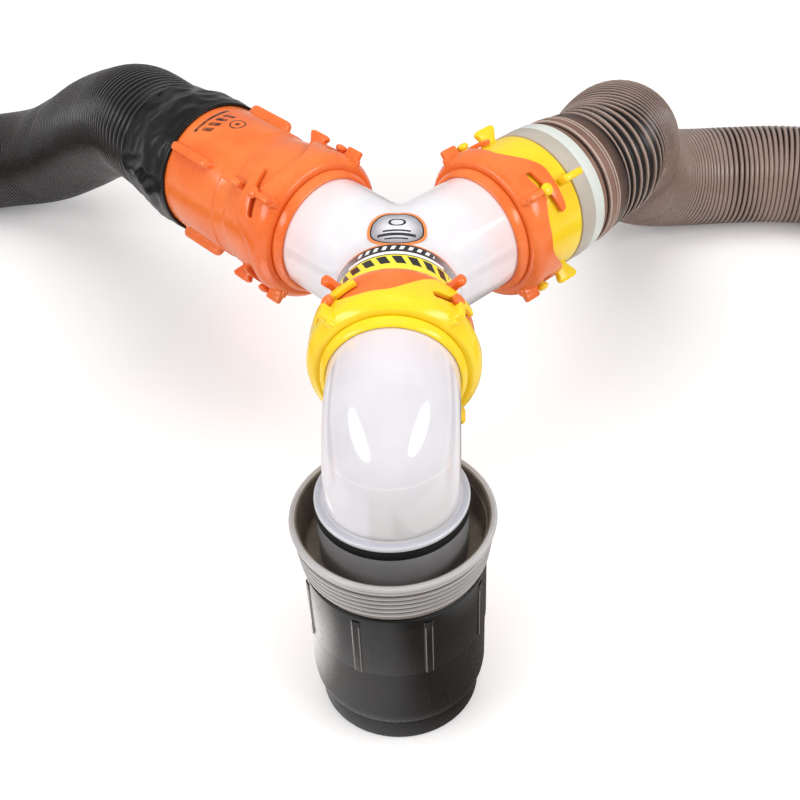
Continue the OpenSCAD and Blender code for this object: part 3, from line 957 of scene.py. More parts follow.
@dataclass(frozen=True)
class BayonetRing:
    """A locking ring: a rolled shoulder, and a skirt that rises in four waves, each with a hook."""

    sizes: Coupling = Coupling()
    base_s: float = 18.0
    valley_s: float = 20.5
    crest_s: float = 37.9
    wave_start: float = -50.0
    wave_end: float = -12.0
    quarter_start: float = -55.0
    slot_shut: float = -15.0
    slot_half: float = 2.5
    slot_rise: float = 0.19
    lip_end: float = 6.0
    lip_foot: float = 24.0
    hook_tip: float = 20.0
    edge_round: float = 0.55
    strip: float = 2.0
    grip_s: float = 9.6
    grip_len: float = 11.8
    grip_r: float = 55.9
    grip_t: float = 4.4
    toe_s: float = 7.9
    toe_r: float = 50.6

    def mould(self) -> Mould:
        """The ring in its coupling's frame.

        Returns:
            The finished mould.
        """
        made = Mould()
        made.lathe(self._shoulder(), closed=False, steps=round(360 / self.strip))
        quarter = self._skirt_quarter()
        for turn in range(4):
            copy = quarter.copy()
            made.absorb(copy, Matrix.Rotation(math.radians(90 * turn), 4, "Z"))
        quarter.free()
        for angle in LUG_ANGLES:
            self._grip(made, angle)
        return made

    def _shoulder(self) -> list[Corner]:
        """The outline below the waves, from the skirt's outside to its inside.

        Returns:
            The outline's corners.
        """
        outer, inner = self.sizes.skirt_r, self.sizes.skirt_r - self.sizes.skirt_wall
        return [
            (outer, self.base_s), (outer, 12.4, 3.9), (46.8, 9.1, 1.5), (45.1, 7.5, 0.9),
            (40.7, 7.5, 0.4), (40.7, 12.0), (inner, 12.0), (inner, self.base_s),
        ]

    def _slot_s(self, turn: float) -> float:
        """The station of the slot's middle line, at an angle from a lug."""
        return self.sizes.lug_s + turn * self.slot_rise

    def _outline(self) -> list[tuple[float, float]]:
        """One wave, as angles from its lug and stations, anticlockwise from its lower left corner.

        Returns:
            The outline's corners.
        """
        start, end = self.quarter_start, self.quarter_start + 90
        deg_mm = math.degrees(1 / self.sizes.skirt_r)
        line = [(start, self.base_s), (end, self.base_s), (end, self.valley_s)]
        lip_top = self._slot_s(self.lip_end) - self.slot_half
        for i in range(10):
            t = i / 10
            turn = self.lip_foot + (self.lip_end - self.lip_foot) * t
            rise = (lip_top - 0.9 - self.valley_s) * smooth_step(t * 0.62) / 0.68
            line.append((turn, self.valley_s + rise))
        line.append((self.lip_end + 0.8, lip_top - 0.5))
        line.append((self.lip_end - 0.4, lip_top))
        for i in range(9):
            arc = math.radians(270 - 22.5 * i)
            turn = self.slot_shut + self.slot_half * math.cos(arc) * deg_mm
            line.append((turn, self._slot_s(self.slot_shut) + self.slot_half * math.sin(arc)))
        tip_low = self._slot_s(self.hook_tip) + self.slot_half
        line += [(self.hook_tip - 1.0, tip_low - 0.2), (self.hook_tip, tip_low + 0.5)]
        line += [(self.hook_tip - 1.2, self.crest_s - 1.4), (self.hook_tip - 2.4, self.crest_s - 0.6)]
        line.append((self.hook_tip - 6, self.crest_s - 0.1))
        line.append((2.0, self.crest_s))
        steps = 16
        for i in range(steps + 1):
            turn = self.wave_end + (self.wave_start - self.wave_end) * i / steps
            rise = smooth_step(1 - i / steps)
            line.append((turn, self.valley_s + (self.crest_s - self.valley_s) * rise))
        line.append((start, self.valley_s))
        return line

    def _skirt_quarter(self) -> bmesh.types.BMesh:
        """A quarter of the skirt: cut flat, rounded at its edges, then rolled to its radius.

        Returns:
            The quarter, open where it meets the next.
        """
        roll = self.sizes.skirt_r
        flat = bmesh.new()
        verts = [flat.verts.new((math.radians(a) * roll, s, 0)) for a, s in self._outline()]
        edges = [flat.edges.new(pair) for pair in zip(verts, verts[1:] + verts[:1])]
        rise = bmesh.ops.extrude_edge_only(flat, edges=edges)["geom"]
        inner = [g for g in rise if isinstance(g, bmesh.types.BMVert)]
        bmesh.ops.translate(flat, vec=(0, 0, -self.sizes.skirt_wall), verts=inner)
        rims = [e for e in flat.edges if len(e.link_faces) == 1]
        bmesh.ops.edgeloop_fill(flat, edges=rims)
        left, right = (math.radians(self.quarter_start + add) * roll for add in (0, 90))
        low = self.base_s + 0.01
        shaped = [e for e in flat.edges if self._is_free(e, left, right, low)]
        bmesh.ops.bevel(
            flat, geom=shaped, offset=self.edge_round, offset_type="OFFSET", segments=2,
            profile=0.5, affect="EDGES", material=-1, clamp_overlap=True,
        )
        ends = [
            f for f in flat.faces
            if all(v.co.y < low for v in f.verts)
            or all(v.co.x < left + 0.01 for v in f.verts)
            or all(v.co.x > right - 0.01 for v in f.verts)
        ]
        bmesh.ops.delete(flat, geom=ends, context="FACES")
        for i in range(1, round(90 / self.strip)):
            cut = left + math.radians(i * self.strip) * roll
            bmesh.ops.bisect_plane(
                flat, geom=flat.verts[:] + flat.edges[:] + flat.faces[:], dist=0.001,
                plane_co=(cut, 0, 0), plane_no=(1, 0, 0),
            )
        for vert in flat.verts:
            turn = vert.co.x / roll + math.radians(LUG_ANGLES[0] - 90)
            radius = roll + vert.co.z
            vert.co = Vector((radius * math.cos(turn), radius * math.sin(turn), vert.co.y))
        return flat

    @staticmethod
    def _is_free(edge: bmesh.types.BMEdge, left: float, right: float, low: float) -> bool:
        """Whether a flat edge lies along the wave's free outline, on the outer or the inner face.

        Args:
            edge: An edge of the flat sheet.
            left: The X of the sheet's left end.
            right: The X of its right end.
            low: The Y just above its base.

        Returns:
            True where the edge is to be rounded.
        """
        first, second = (v.co for v in edge.verts)
        if abs(first.z - second.z) > 0.01:
            return False
        on_base = first.y < low and second.y < low
        on_left = first.x < left + 0.01 and second.x < left + 0.01
        on_right = first.x > right - 0.01 and second.x > right - 0.01
        return not (on_base or on_left or on_right)

    def _grip(self, made: Mould, angle: float) -> None:
        """A finger grip that stands on the skirt in line with a lug.

        Args:
            made: The mould to add to.
            angle: The lug's angle, in degrees.
        """
        root = self.sizes.skirt_r
        steps = [
            (root - 3.0, 0.6, 2.6), (root + 0.1, 0.6, 2.2), (root + 0.5, 0.2, 1.0), (root + 1.3, 0, 0.2),
            (root + 2.4, 0, 0), (self.grip_r - 1.1, 0, 0), (self.grip_r - 0.35, -0.8, -0.8),
            (self.grip_r, -2.2, -2.2),
        ]
        place = out_at(angle, self.grip_s + self.grip_len / 2)
        made.loft(self.grip_len, self.grip_t, steps, place, corner=0.3)
        toe = [
            (root - 5.4, 0, 0.8), (root - 2.6, 0, 0.2), (self.toe_r - 1.2, 0, 0),
            (self.toe_r - 0.4, -0.5, -0.6), (self.toe_r, -1.6, -1.8),
        ]
        length = self.grip_s + 2.0 - self.toe_s
        made.loft(length, self.grip_t - 0.5, toe, out_at(angle, self.toe_s + length / 2), corner=0.3)


@dataclass(frozen=True)
class RingBush:
    """The flanged bush a ring turns on: the rolled rim that shows, and the flange inside."""

    def mould(self) -> Mould:
        """The bush in its coupling's frame.

        Returns:
            The finished mould.
        """
        made = Mould()
        made.lathe([
            (38.07, 0.9), (38.7, 0.1, 0.4), (39.9, 0.6, 0.6), (41.7, 3.6, 2.0), (42.0, 7.2, 0.9),
            (40.4, 7.2), (40.4, 12.3), (45.0, 12.3), (45.0, 14.0), (38.35, 14.0), (38.35, 3.0),
        ])
        return made


@dataclass(frozen=True)
class Paddle:
    """A finger paddle: its span along the coupling at its foot and its top, and its two radii."""

    foot: tuple[float, float]
    top: tuple[float, float]
    root_r: float
    top_r: float
    thickness: float = 4.8
    clear_r: float = 50.8
    rows: tuple[tuple[float, float, float], ...] = (
        (-2.6, 1.6, 0.0), (0.1, 1.6, 0.0), (0.7, 0.5, 0.0), (1.7, 0.0, 0.0), (3.4, 0.0, 0.0),
        (5.2, 0.0, 0.0), (6.6, 0.0, 0.0), (8.0, 0.0, 0.0), (9.0, 0.0, 0.4), (10.0, -0.1, 1.8),
        (10.8, -0.9, 3.8), (11.4, -2.6, 6.4),
    )

    def _edges(self, radius: float) -> tuple[float, float]:
        """Where the paddle's two edges lie at a radius: the ring's side flares past its skirt only.

        Args:
            radius: The distance from the axis.

        Returns:
            The stations of the two edges.
        """
        flared = min(max((radius - self.clear_r) / (self.top_r - 1.5 - self.clear_r), 0.0), 1.0)
        spread = min(max((radius - self.root_r - 0.8) / (self.top_r - 2.3 - self.root_r), 0.0), 1.0)
        low = self.foot[0] + (self.top[0] - self.foot[0]) * flared
        return low, self.foot[1] + (self.top[1] - self.foot[1]) * spread

    def steps(self) -> list[Corner]:
        """The sections from inside the wall to the rounded top, for a post as long as the top.

        Returns:
            The sections, as a loft takes them.
        """
        full, middle = self.top[1] - self.top[0], sum(self.top) / 2
        grown = (self.top_r - self.root_r) / self.rows[-1][0]
        made = []
        for rise, thicker, rounding in self.rows:
            height = self.root_r + rise * (grown if rise > 1 else 1)
            low, high = self._edges(height)
            made.append((height, high - low - rounding - full, thicker, (low + high) / 2 - middle))
        return made


@dataclass(frozen=True)
class Fin:
    """A long low fin along a sleeve: where it starts and ends, and its two radii."""

    start: float
    end: float
    root_r: float
    top_r: float
    thickness: float = 6.0

    def steps(self) -> list[Corner]:
        """The sections from inside the wall to the top, whose edges are well rounded.

        Returns:
            The sections, as a loft takes them.
        """
        root, top = self.root_r, self.top_r
        return [
            (root - 1.5, 0, 2.2), (root + 1.0, 0, 2.2), (root + 1.5, -0.3, 0.8), (root + 2.4, -0.5, 0.1),
            (top - 3.2, -1.0, 0), (top - 2.1, -2.0, 0), (top - 1.2, -3.8, -0.1), (top - 0.5, -6.0, -0.8),
            (top - 0.12, -8.2, -2.6), (top, -9.4, -4.9),
        ]


@dataclass(frozen=True)
class LugFitting:
    """Half of a coupling that carries the lugs: a turned body with four lugs and its paddles."""

    body: tuple[Corner, ...]
    paddle: Paddle
    fin: Fin | None = None
    sizes: Coupling = Coupling()

    def mould(self) -> Mould:
        """The fitting in its coupling's frame.

        Returns:
            The finished mould.
        """
        made = Mould()
        made.lathe(self.body)
        for angle in LUG_ANGLES:
            self._lug(made, angle)
            low, high = self.paddle.top
            made.loft(
                high - low, self.paddle.thickness, self.paddle.steps(),
                out_at(angle, (low + high) / 2), corner=0.42,
            )
            if self.fin:
                made.loft(
                    self.fin.end - self.fin.start, self.fin.thickness, self.fin.steps(),
                    out_at(angle, (self.fin.start + self.fin.end) / 2),
                )
        return made

    def _lug(self, made: Mould, angle: float) -> None:
        """A round stem with a ball head that rides over the skirt.

        Args:
            made: The mould to add to.
            angle: The lug's angle, in degrees.
        """
        low, ball, stem = self.sizes.ball_low, self.sizes.ball_r, self.sizes.stem_r
        top = low + ball + 0.36
        made.lathe(
            [
                (0, self.sizes.flange_r - 3), (stem + 0.4, self.sizes.flange_r - 3),
                (stem, self.sizes.flange_r + 0.6), (stem, low + 0.1), (ball - 0.8, low, 0.5),
                (ball, low + 1.4, 0.9), (ball, top, 4.2), (0, top),
            ],
            closed=False, steps=32, place=out_at(angle, self.sizes.lug_s),
        )



class Side(Enum):
    """An arm of the wye, by the sign of its X."""

    LEFT = -1
    RIGHT = 1


@dataclass(frozen=True)
class Layout:
    axis_z: float = 192.0
    wye_y: float = 155.0
    arm_angle: float = 45.0
    arm_ring_s: float = 65.5
    elbow_ring_y: float = 52.0

    def column(self) -> Matrix:
        """The standing column of the inlet, adapter and elbow: its axis is Z."""
        return Matrix.Identity(4)

    def front(self) -> Matrix:
        """The elbow's coupling, which points at the wye."""
        return along_axis((0, self.elbow_ring_y, self.axis_z), 0)

    def arm_point(self, side: Side, reach: float) -> Vector:
        """A point on an arm's axis, at a distance from where the legs meet.

        Args:
            side: Which arm.
            reach: The distance from where the legs meet.

        Returns:
            The point.
        """
        turn = math.radians(self.arm_angle)
        across, along = side.value * math.sin(turn), math.cos(turn)
        return Vector((across * reach, self.wye_y + along * reach, self.axis_z))

    def arm(self, side: Side) -> Matrix:
        """An arm's coupling."""
        return along_axis(self.arm_point(side, self.arm_ring_s), -side.value * self.arm_angle)

    def far(self, end: Vector) -> Matrix:
        """The coupling at a hose's far end, which points along -Y."""
        return along_axis(end, 180)


# ---------------- wye and elbow


@dataclass(frozen=True)
class Wye:
    """The milky wye: three legs that meet in soft creases, with a flange on each arm's end."""

    layout: Layout = Layout()
    sizes: Coupling = Coupling()
    ring_gap: float = 3.5
    end_round: float = 0.9
    crease: float = 9.0
    crease_reach: float = 62.0
    crease_passes: int = 20
    label_reach: float = 19.0

    def mould(self) -> Mould:
        """Returns:
            The finished mould.
        """
        made = Mould()
        self._legs(made, self.sizes.pipe_r)
        made.solid_normals()
        soft = [v for v in made.bm.verts if self._near_crease(v.co)]
        for _ in range(self.crease_passes):
            bmesh.ops.smooth_vert(
                made.bm, verts=soft, factor=0.5, use_axis_x=True, use_axis_y=True, use_axis_z=True,
            )
        self._legs(made, self.sizes.bore_r)
        outer, inner = self.sizes.pipe_r, self.sizes.bore_r
        back, end, rim = self.sizes.flange_back, self.sizes.flange_end, self.sizes.flange_r
        for side in Side:
            made.lathe(
                [
                    (outer, back), (rim, back, 0.5), (rim, end, 0.5), (inner, end, 0.4), (inner, back),
                ],
                closed=False, place=self.layout.arm(side),
            )
        start = self.sizes.fitting_start
        made.lathe(
            [(outer, start + self.end_round), (outer, start, 0.4), (inner, start, 0.4),
             (inner, start + self.end_round)],
            closed=False, place=self.layout.front(),
        )
        return made

    def _between(self) -> float:
        """The direction of the crease between the front leg and an arm, from +Y, in radians."""
        return math.radians((180 + self.layout.arm_angle) / 2)

    def _legs(self, made: Mould, radius: float) -> None:
        """Adds the skin of all three legs, each cut off where it meets the others.

        Args:
            made: The mould to add to.
            radius: The skin's radius.
        """
        cos, sin = math.cos(self._between()), math.sin(self._between())
        right, left = Vector((-cos, sin, 0)), Vector((cos, sin, 0))
        front = self.layout.wye_y - self.layout.elbow_ring_y
        start = self.sizes.fitting_start + self.end_round
        self._leg(made, radius, self.layout.front(), front, start, (right, left))
        ring = -self.layout.arm_ring_s
        back = self.sizes.flange_back
        across = Vector((1, 0, 0))
        self._leg(made, radius, self.layout.arm(Side.RIGHT), ring, back, (-right, -across))
        self._leg(made, radius, self.layout.arm(Side.LEFT), ring, back, (-left, across))

    def _leg(
        self, made: Mould, radius: float, place: Matrix, meet: float, end: float, cuts: Sequence[Vector],
    ) -> None:
        """Adds one leg's skin.

        Args:
            made: The mould to add to.
            radius: The skin's radius.
            place: The coupling at the leg's end.
            meet: The station where the three axes meet.
            end: The station where the leg ends.
            cuts: The outward normals of the planes that cut the leg off.
        """
        reach = abs(end - meet)
        step = math.copysign(self.ring_gap, end - meet)
        stations = [meet + step * i for i in range(int(reach / self.ring_gap))] + [end]
        leg = Mould()
        leg.lathe([(radius, s) for s in stations], closed=False, place=place)
        centre = Vector((0, self.layout.wye_y, self.layout.axis_z))
        for normal in cuts:
            bmesh.ops.bisect_plane(
                leg.bm, geom=leg.bm.verts[:] + leg.bm.edges[:] + leg.bm.faces[:], dist=0.001,
                plane_co=centre, plane_no=normal, clear_outer=True,
            )
        made.absorb(leg.bm)

    def _near_crease(self, point: Vector) -> bool:
        """Whether a point of the skin is beside a crease, and clear of the printed film.

        Args:
            point: A point of the skin.

        Returns:
            True where it is to be softened.
        """
        flat = Vector((point.x, point.y - self.layout.wye_y))
        if flat.length < self.label_reach or flat.length > self.crease_reach:
            return False
        sin, cos = math.sin(self._between()), math.cos(self._between())
        lines = [Vector((0, 1)), Vector((sin, cos)), Vector((-sin, cos))]
        return any(flat.dot(line) > 0 and abs(flat.cross(line)) < self.crease for line in lines)


@dataclass(frozen=True)
class Elbow:
    """The milky elbow: a bend from the stem to the coupling, with a lip above the adapter."""

    layout: Layout = Layout()
    sizes: Coupling = Coupling()
    bend_r: float = 40.0
    bend_steps: int = 30
    lip_z: float = 154.5
    lip_t: float = 3.0
    lip_r: float = 43.0
    stem_low: float = 96.0
    bead: float = 1.2

    def mould(self) -> Mould:
        """The elbow in the column's frame.

        Returns:
            The finished mould.
        """
        made = Mould()
        low = self.layout.axis_z - self.bend_r
        for radius in (self.sizes.pipe_r, self.sizes.bore_r):
            bend = bmesh.new()
            bmesh.ops.create_circle(
                bend, cap_ends=False, radius=radius, segments=TURN_STEPS,
                matrix=Matrix.Translation((0, 0, low)),
            )
            bmesh.ops.spin(
                bend, geom=bend.verts[:] + bend.edges[:], cent=(0, self.bend_r, low), axis=(1, 0, 0),
                dvec=(0, 0, 0), angle=-math.pi / 2, steps=self.bend_steps, use_merge=False,
            )
            made.absorb(bend)
        made.lathe(self._stem(low), closed=False)
        made.lathe(self._front(), closed=False, place=self.layout.front())
        top = self.lip_z + self.lip_t
        wall = (self.sizes.pipe_r + self.sizes.bore_r) / 2
        made.lathe([
            (wall, self.lip_z), (self.lip_r, self.lip_z, 0.7), (self.lip_r, top, 1.1),
            (self.sizes.pipe_r + 0.9, top, 0.8), (self.sizes.pipe_r - 0.2, top + 0.8), (wall, top + 0.8),
        ])
        return made

    def _stem(self, low: float) -> list[Corner]:
        """The outline of the stem, down the outside and up the inside.

        Args:
            low: The height at which the bend starts.

        Returns:
            The outline's corners.
        """
        outer, inner, foot = self.sizes.pipe_r, self.sizes.bore_r, self.stem_low
        return [
            (outer, low), (outer, foot + 3.1), (outer + self.bead, foot + 2.3, 0.4),
            (outer + self.bead, foot + 1.5, 0.4), (outer, foot + 0.9, 0.3), (outer - 0.6, foot),
            (inner + 0.3, foot), (inner, foot + 0.4), (inner, low),
        ]

    def _front(self) -> list[Corner]:
        """The outline from the bend to the coupling's flange, along the outside and back.

        Returns:
            The outline's corners.
        """
        outer, inner = self.sizes.pipe_r, self.sizes.bore_r
        start = self.bend_r - self.layout.elbow_ring_y
        back, end, rim = self.sizes.flange_back, self.sizes.flange_end, self.sizes.flange_r
        return [
            (outer, start), (outer, back), (rim, back, 0.5), (rim, end, 0.5), (inner, end, 0.4),
            (inner, start),
        ]


# ---------------- adapter and inlet


@dataclass(frozen=True)
class Adapter:
    """The grey adapter: a threaded cup, and the sleeve and gasket that the elbow turns in."""

    floor_z: float = 118.0
    thread_z: float = 113.9
    thread_turns: float = 5.2
    thread_pitch: float = 3.9
    thread_root: float = 51.7
    thread_depth: float = 1.75
    thread_taper: float = 0.6
    thread_steps: int = 96
    sleeve_top: float = 149.7

    def ring(self) -> Mould:
        """The cup with its rim and its thread, in the column's frame.

        Returns:
            The finished mould.
        """
        made = Mould()
        high = self.thread_z + self.thread_pitch * self.thread_turns
        made.lathe([
            (42.2, 85.0), (46.6, 85.0, 0.6), (46.6, 111.0), (51.4, 111.0, 0.7), (51.8, 113.0),
            (54.9, high + 1.2, 0.4), (56.6, 136.0, 0.4), (57.2, 137.6, 0.5), (56.6, 138.3, 0.25),
            (56.6, 138.9, 0.25), (57.9, 139.5, 0.5), (58.0, 141.3, 0.5), (57.3, 142.0, 0.5),
            (55.9, 142.0, 0.2), (55.6, 141.7, 0.2), (54.4, 141.7, 0.3), (53.5, 141.0, 0.4),
            (50.6, self.floor_z, 2.0), (42.2, self.floor_z),
        ])
        made.absorb(self._thread())
        return made

    def _thread(self) -> bmesh.types.BMesh:
        """One helical ridge on a slight cone, which fades in and out at its ends.

        Returns:
            The ridge, closed at both ends.
        """
        ridge = bmesh.new()
        crest = self.thread_root + self.thread_depth
        sunk = self.thread_root - 0.9
        section = ((sunk, -1.15), (crest, -0.5), (crest, 0.35), (sunk, 1.25))
        verts = [ridge.verts.new((r, 0, self.thread_z + z)) for r, z in section]
        for pair in zip(verts, verts[1:] + verts[:1]):
            ridge.edges.new(pair)
        steps = round(self.thread_turns * self.thread_steps)
        bmesh.ops.spin(
            ridge, geom=ridge.verts[:] + ridge.edges[:], cent=(0, 0, 0), axis=(0, 0, 1),
            dvec=(0, 0, self.thread_pitch / self.thread_steps), angle=math.tau * self.thread_turns,
            steps=steps, use_merge=False,
        )
        bmesh.ops.holes_fill(ridge, edges=ridge.edges[:], sides=4)
        bmesh.ops.recalc_face_normals(ridge, faces=ridge.faces[:])
        for vert in ridge.verts:
            turns = (vert.co.z - self.thread_z) / self.thread_pitch
            ends = min(turns, self.thread_turns - turns) / 0.35
            drop = self.thread_depth * 1.3 * (1 - smooth_step(ends))
            radius = math.hypot(vert.co.x, vert.co.y)
            grown = (radius + self.thread_taper * turns - drop) / radius
            vert.co.x *= grown
            vert.co.y *= grown
        return ridge

    def sleeve(self) -> Mould:
        """The inner sleeve, with the groove that holds the elbow's snap bead.

        Returns:
            The finished mould.
        """
        made = Mould()
        made.lathe([
            (38.3, 90.0), (42.2, 90.0, 0.5), (42.2, self.sleeve_top, 0.6), (38.3, self.sleeve_top, 0.4),
            (38.3, 99.3), (39.5, 99.3, 0.3), (39.5, 96.7, 0.3), (38.3, 96.7),
        ])
        return made

    def gasket(self) -> Mould:
        """The soft gasket under the elbow's lip, squeezed a little proud and over the sleeve's edge.

        Returns:
            The finished mould.
        """
        made = Mould()
        low = self.sleeve_top
        made.lathe([
            (38.3, low + 0.1, 0.5), (42.35, low + 0.1), (42.35, low - 1.2), (43.0, low - 1.2, 0.3),
            (43.0, low + 4.3, 0.5), (38.3, low + 4.3, 0.5),
        ])
        return made


@dataclass(frozen=True)
class Inlet:
    """The black standing inlet: a tapered foot, a step and eight fine ribs."""

    step_z: float = 64.0
    top_z: float = 110.7
    ribs: int = 8
    rib_t: float = 4.4
    rib_top: float = 53.05
    rib_foot: float = 64.2
    rib_head: float = 106.4

    def mould(self) -> Mould:
        """The inlet in the column's frame.

        Returns:
            The finished mould.
        """
        made = Mould()
        made.lathe([
            (43.0, 0.0, 0.4), (47.4, 0.0, 0.9), (47.5, 13.5, 0.2), (47.35, 13.8), (47.6, 14.2, 0.2),
            (48.1, 15.4, 0.6), (50.5, 19.0, 2.0), (51.6, 24.0, 2.6), (51.75, self.step_z - 0.1),
            (52.3, self.step_z + 0.35, 0.2), (52.3, self.top_z - 0.9, 0.8), (51.3, self.top_z, 0.5),
            (47.0, self.top_z, 0.6), (47.0, 60.0), (43.0, 59.6, 0.5),
        ])
        middle, length = (self.rib_foot + self.rib_head) / 2, self.rib_head - self.rib_foot
        steps = [
            (50.7, 0, 1.4), (52.2, 0, 1.4), (52.42, 0, 0.5), (52.6, 0, 0.1),
            (self.rib_top - 0.15, 0, 0), (self.rib_top, -0.5, -0.5),
        ]
        for i in range(self.ribs):
            angle = 22.5 + i * 360 / self.ribs
            made.loft(length, self.rib_t, steps, out_at(angle, middle), corner=0.12)
        return made


# ---------------- hose ends


@dataclass(frozen=True)
class StretchedCuff:
    """The black rubber cuff: pulled over the fitting's sleeve, creased, with a scalloped edge.

    Each of the edge's waves is its count round the cuff, its phase and its depth.
    """

    front_s: float = 117.5
    rear_s: float = 171.5
    rise_s: float = 141.0
    steps: int = 160
    rings: int = 44
    fold_depth: float = 1.5
    scallop: float = 7.0
    edge_waves: tuple[Corner, ...] = ((3, 0.7, 0.45), (7, 2.1, 0.35), (13, 0.0, 0.2))

    def mould(self) -> Mould:
        """The cuff in its coupling's frame.

        Returns:
            The finished mould.
        """
        made = Mould()
        outer = [
            (45.75, self.front_s), (46.9, self.front_s, 0.3), (47.7, self.front_s + 1.0, 0.5),
            (47.2, self.front_s + 2.6, 0.5),
        ]
        start = self.front_s + 4.0
        for i in range(self.rings + 1):
            t = i / self.rings
            outer.append((self._radius(t), start + (self.rear_s - start) * t))
        outer += [(42.35, self.rear_s), (42.35, self.rise_s + 2), (45.75, self.rise_s)]
        made.lathe(outer, steps=self.steps)
        for vert in made.bm.verts:
            self._crease(vert, start)
        return made

    @staticmethod
    def _radius(t: float) -> float:
        """The cuff's outer radius from its front to its rear edge."""
        return 47.5 - 3.9 * smooth_step((t - 0.34) / 0.5)

    def _crease(self, vert: bmesh.types.BMVert, start: float) -> None:
        """Folds the skin and draws the rear edge into scallops.

        Args:
            vert: The corner to move.
            start: The station where the folds begin.
        """
        x, y, s = vert.co
        radius = math.hypot(x, y)
        turn = math.atan2(y, x)
        t = min(max((s - start) / (self.rear_s - start), 0.0), 1.0)
        edge = sum(math.sin(count * turn + start_at) * deep for count, start_at, deep in self.edge_waves)
        pull = smooth_step((t - 0.35) / 0.65)
        moved = s - pull * self.scallop * (0.5 + 0.5 * edge)
        skin = t > 0 and radius > self._radius(t) - 0.6
        if skin:
            lean = turn + t * 0.9
            fold = math.sin(9 * lean) * 0.35 + math.sin(5 * lean - t * 4.0) * 0.4
            fold += math.sin(17 * turn + t * 6.0) * 0.25
            ring = math.sin(t * 17.0 + 1.6 * math.sin(2 * turn + 0.5)) * 0.5
            crest = 1 - abs(fold + ring * 0.6)
            swell = smooth_step(t / 0.12) * (1 - 0.75 * smooth_step((t - 0.78) / 0.22))
            radius += (crest * 1.6 - 0.75) * self.fold_depth * swell * 0.62
        scale = radius / math.hypot(x, y)
        vert.co = Vector((x * scale, y * scale, moved))


@dataclass(frozen=True)
class BandedEnd:
    """The right hose's end: a snap band, a pale collar and a brown cuff with broad ridges.

    The crests are where its painted highlight lines lie, from the cuff's front.
    """

    band_s: float = 53.3
    collar_s: float = 65.4
    cuff_s: float = 75.4
    crests: tuple[float, ...] = (7.7, 14.6, 17.0)

    def band(self) -> Mould:
        """The band that the fitting's tail snaps into.

        Returns:
            The finished mould.
        """
        made = Mould()
        low, high = self.band_s, self.collar_s
        made.lathe([
            (43.8, low, 0.2), (46.5, low, 0.7), (46.5, high, 0.15), (42.4, high), (42.4, 60.3),
            (44.6, 60.3), (44.6, 57.8), (43.8, 57.5),
        ])
        return made

    def collar(self) -> Mould:
        """The pale collar behind the band.

        Returns:
            The finished mould.
        """
        made = Mould()
        low, high = self.collar_s, self.cuff_s
        made.lathe([
            (42.4, low), (46.0, low + 0.1, 0.3), (46.2, low + 1.4, 0.8), (46.0, high - 0.2, 1.3),
            (44.6, high, 0.4), (42.4, high),
        ])
        return made

    def cuff(self) -> Mould:
        """The cuff, whose ridges are rolled and whose rear edge thins out on the hose.

        Returns:
            The finished mould.
        """
        made = Mould()
        low = self.cuff_s
        made.lathe([
            (42.35, low), (43.9, low, 0.2), (44.1, low + 3.8, 0.5), (43.6, low + 4.6, 0.2),
            (42.6, low + 5.0, 0.2), (42.6, low + 6.8, 0.2), (44.5, low + 7.3, 0.3), (45.1, low + 8.2, 0.5),
            (44.9, low + 12.4, 0.7), (43.5, low + 13.6, 0.2), (44.6, low + 14.6, 0.25),
            (43.2, low + 15.6, 0.2), (44.4, low + 17.0, 0.4), (43.2, low + 18.4, 0.4),
            (43.0, low + 24.6, 0.5), (42.6, low + 27.0, 0.15), (42.35, low + 27.0),
        ])
        return made


@dataclass(frozen=True)
class FarEnd:
    """The plain hub and cuff that carry the ring on a hose's far end."""

    sizes: Coupling = Coupling()
    ring_s: float = 40.0
    cuff_len: float = 34.0

    def hub(self) -> Mould:
        """The hub in the far end's frame.

        Returns:
            The finished mould.
        """
        made = Mould()
        back, end = self.ring_s + self.sizes.flange_back, self.ring_s + self.sizes.flange_end
        made.lathe([
            (35.0, 0.0), (44.2, 0.0, 0.5), (44.2, 11.6, 1.6), (38.0, 16.4, 1.6), (38.0, back),
            (self.sizes.flange_r, back, 0.5), (self.sizes.flange_r, end, 0.5), (35.0, end, 0.4),
        ])
        return made

    def cuff(self) -> Mould:
        """The cuff on the hose's last stretch, with two rolled ridges.

        Returns:
            The finished mould.
        """
        made = Mould()
        low = -self.cuff_len
        made.lathe([
            (42.35, low), (42.6, low, 0.1), (43.3, low + 1.6, 0.6), (43.2, low + 9.0, 1.0),
            (44.1, low + 11.0, 1.0), (44.1, low + 17.0, 1.0), (43.2, low + 19.0, 0.7),
            (43.2, low + 21.0, 0.7), (44.1, low + 23.0, 1.0), (44.2, -0.1, 0.6), (42.35, -0.1),
        ])
        return made


# ---------------- hoses


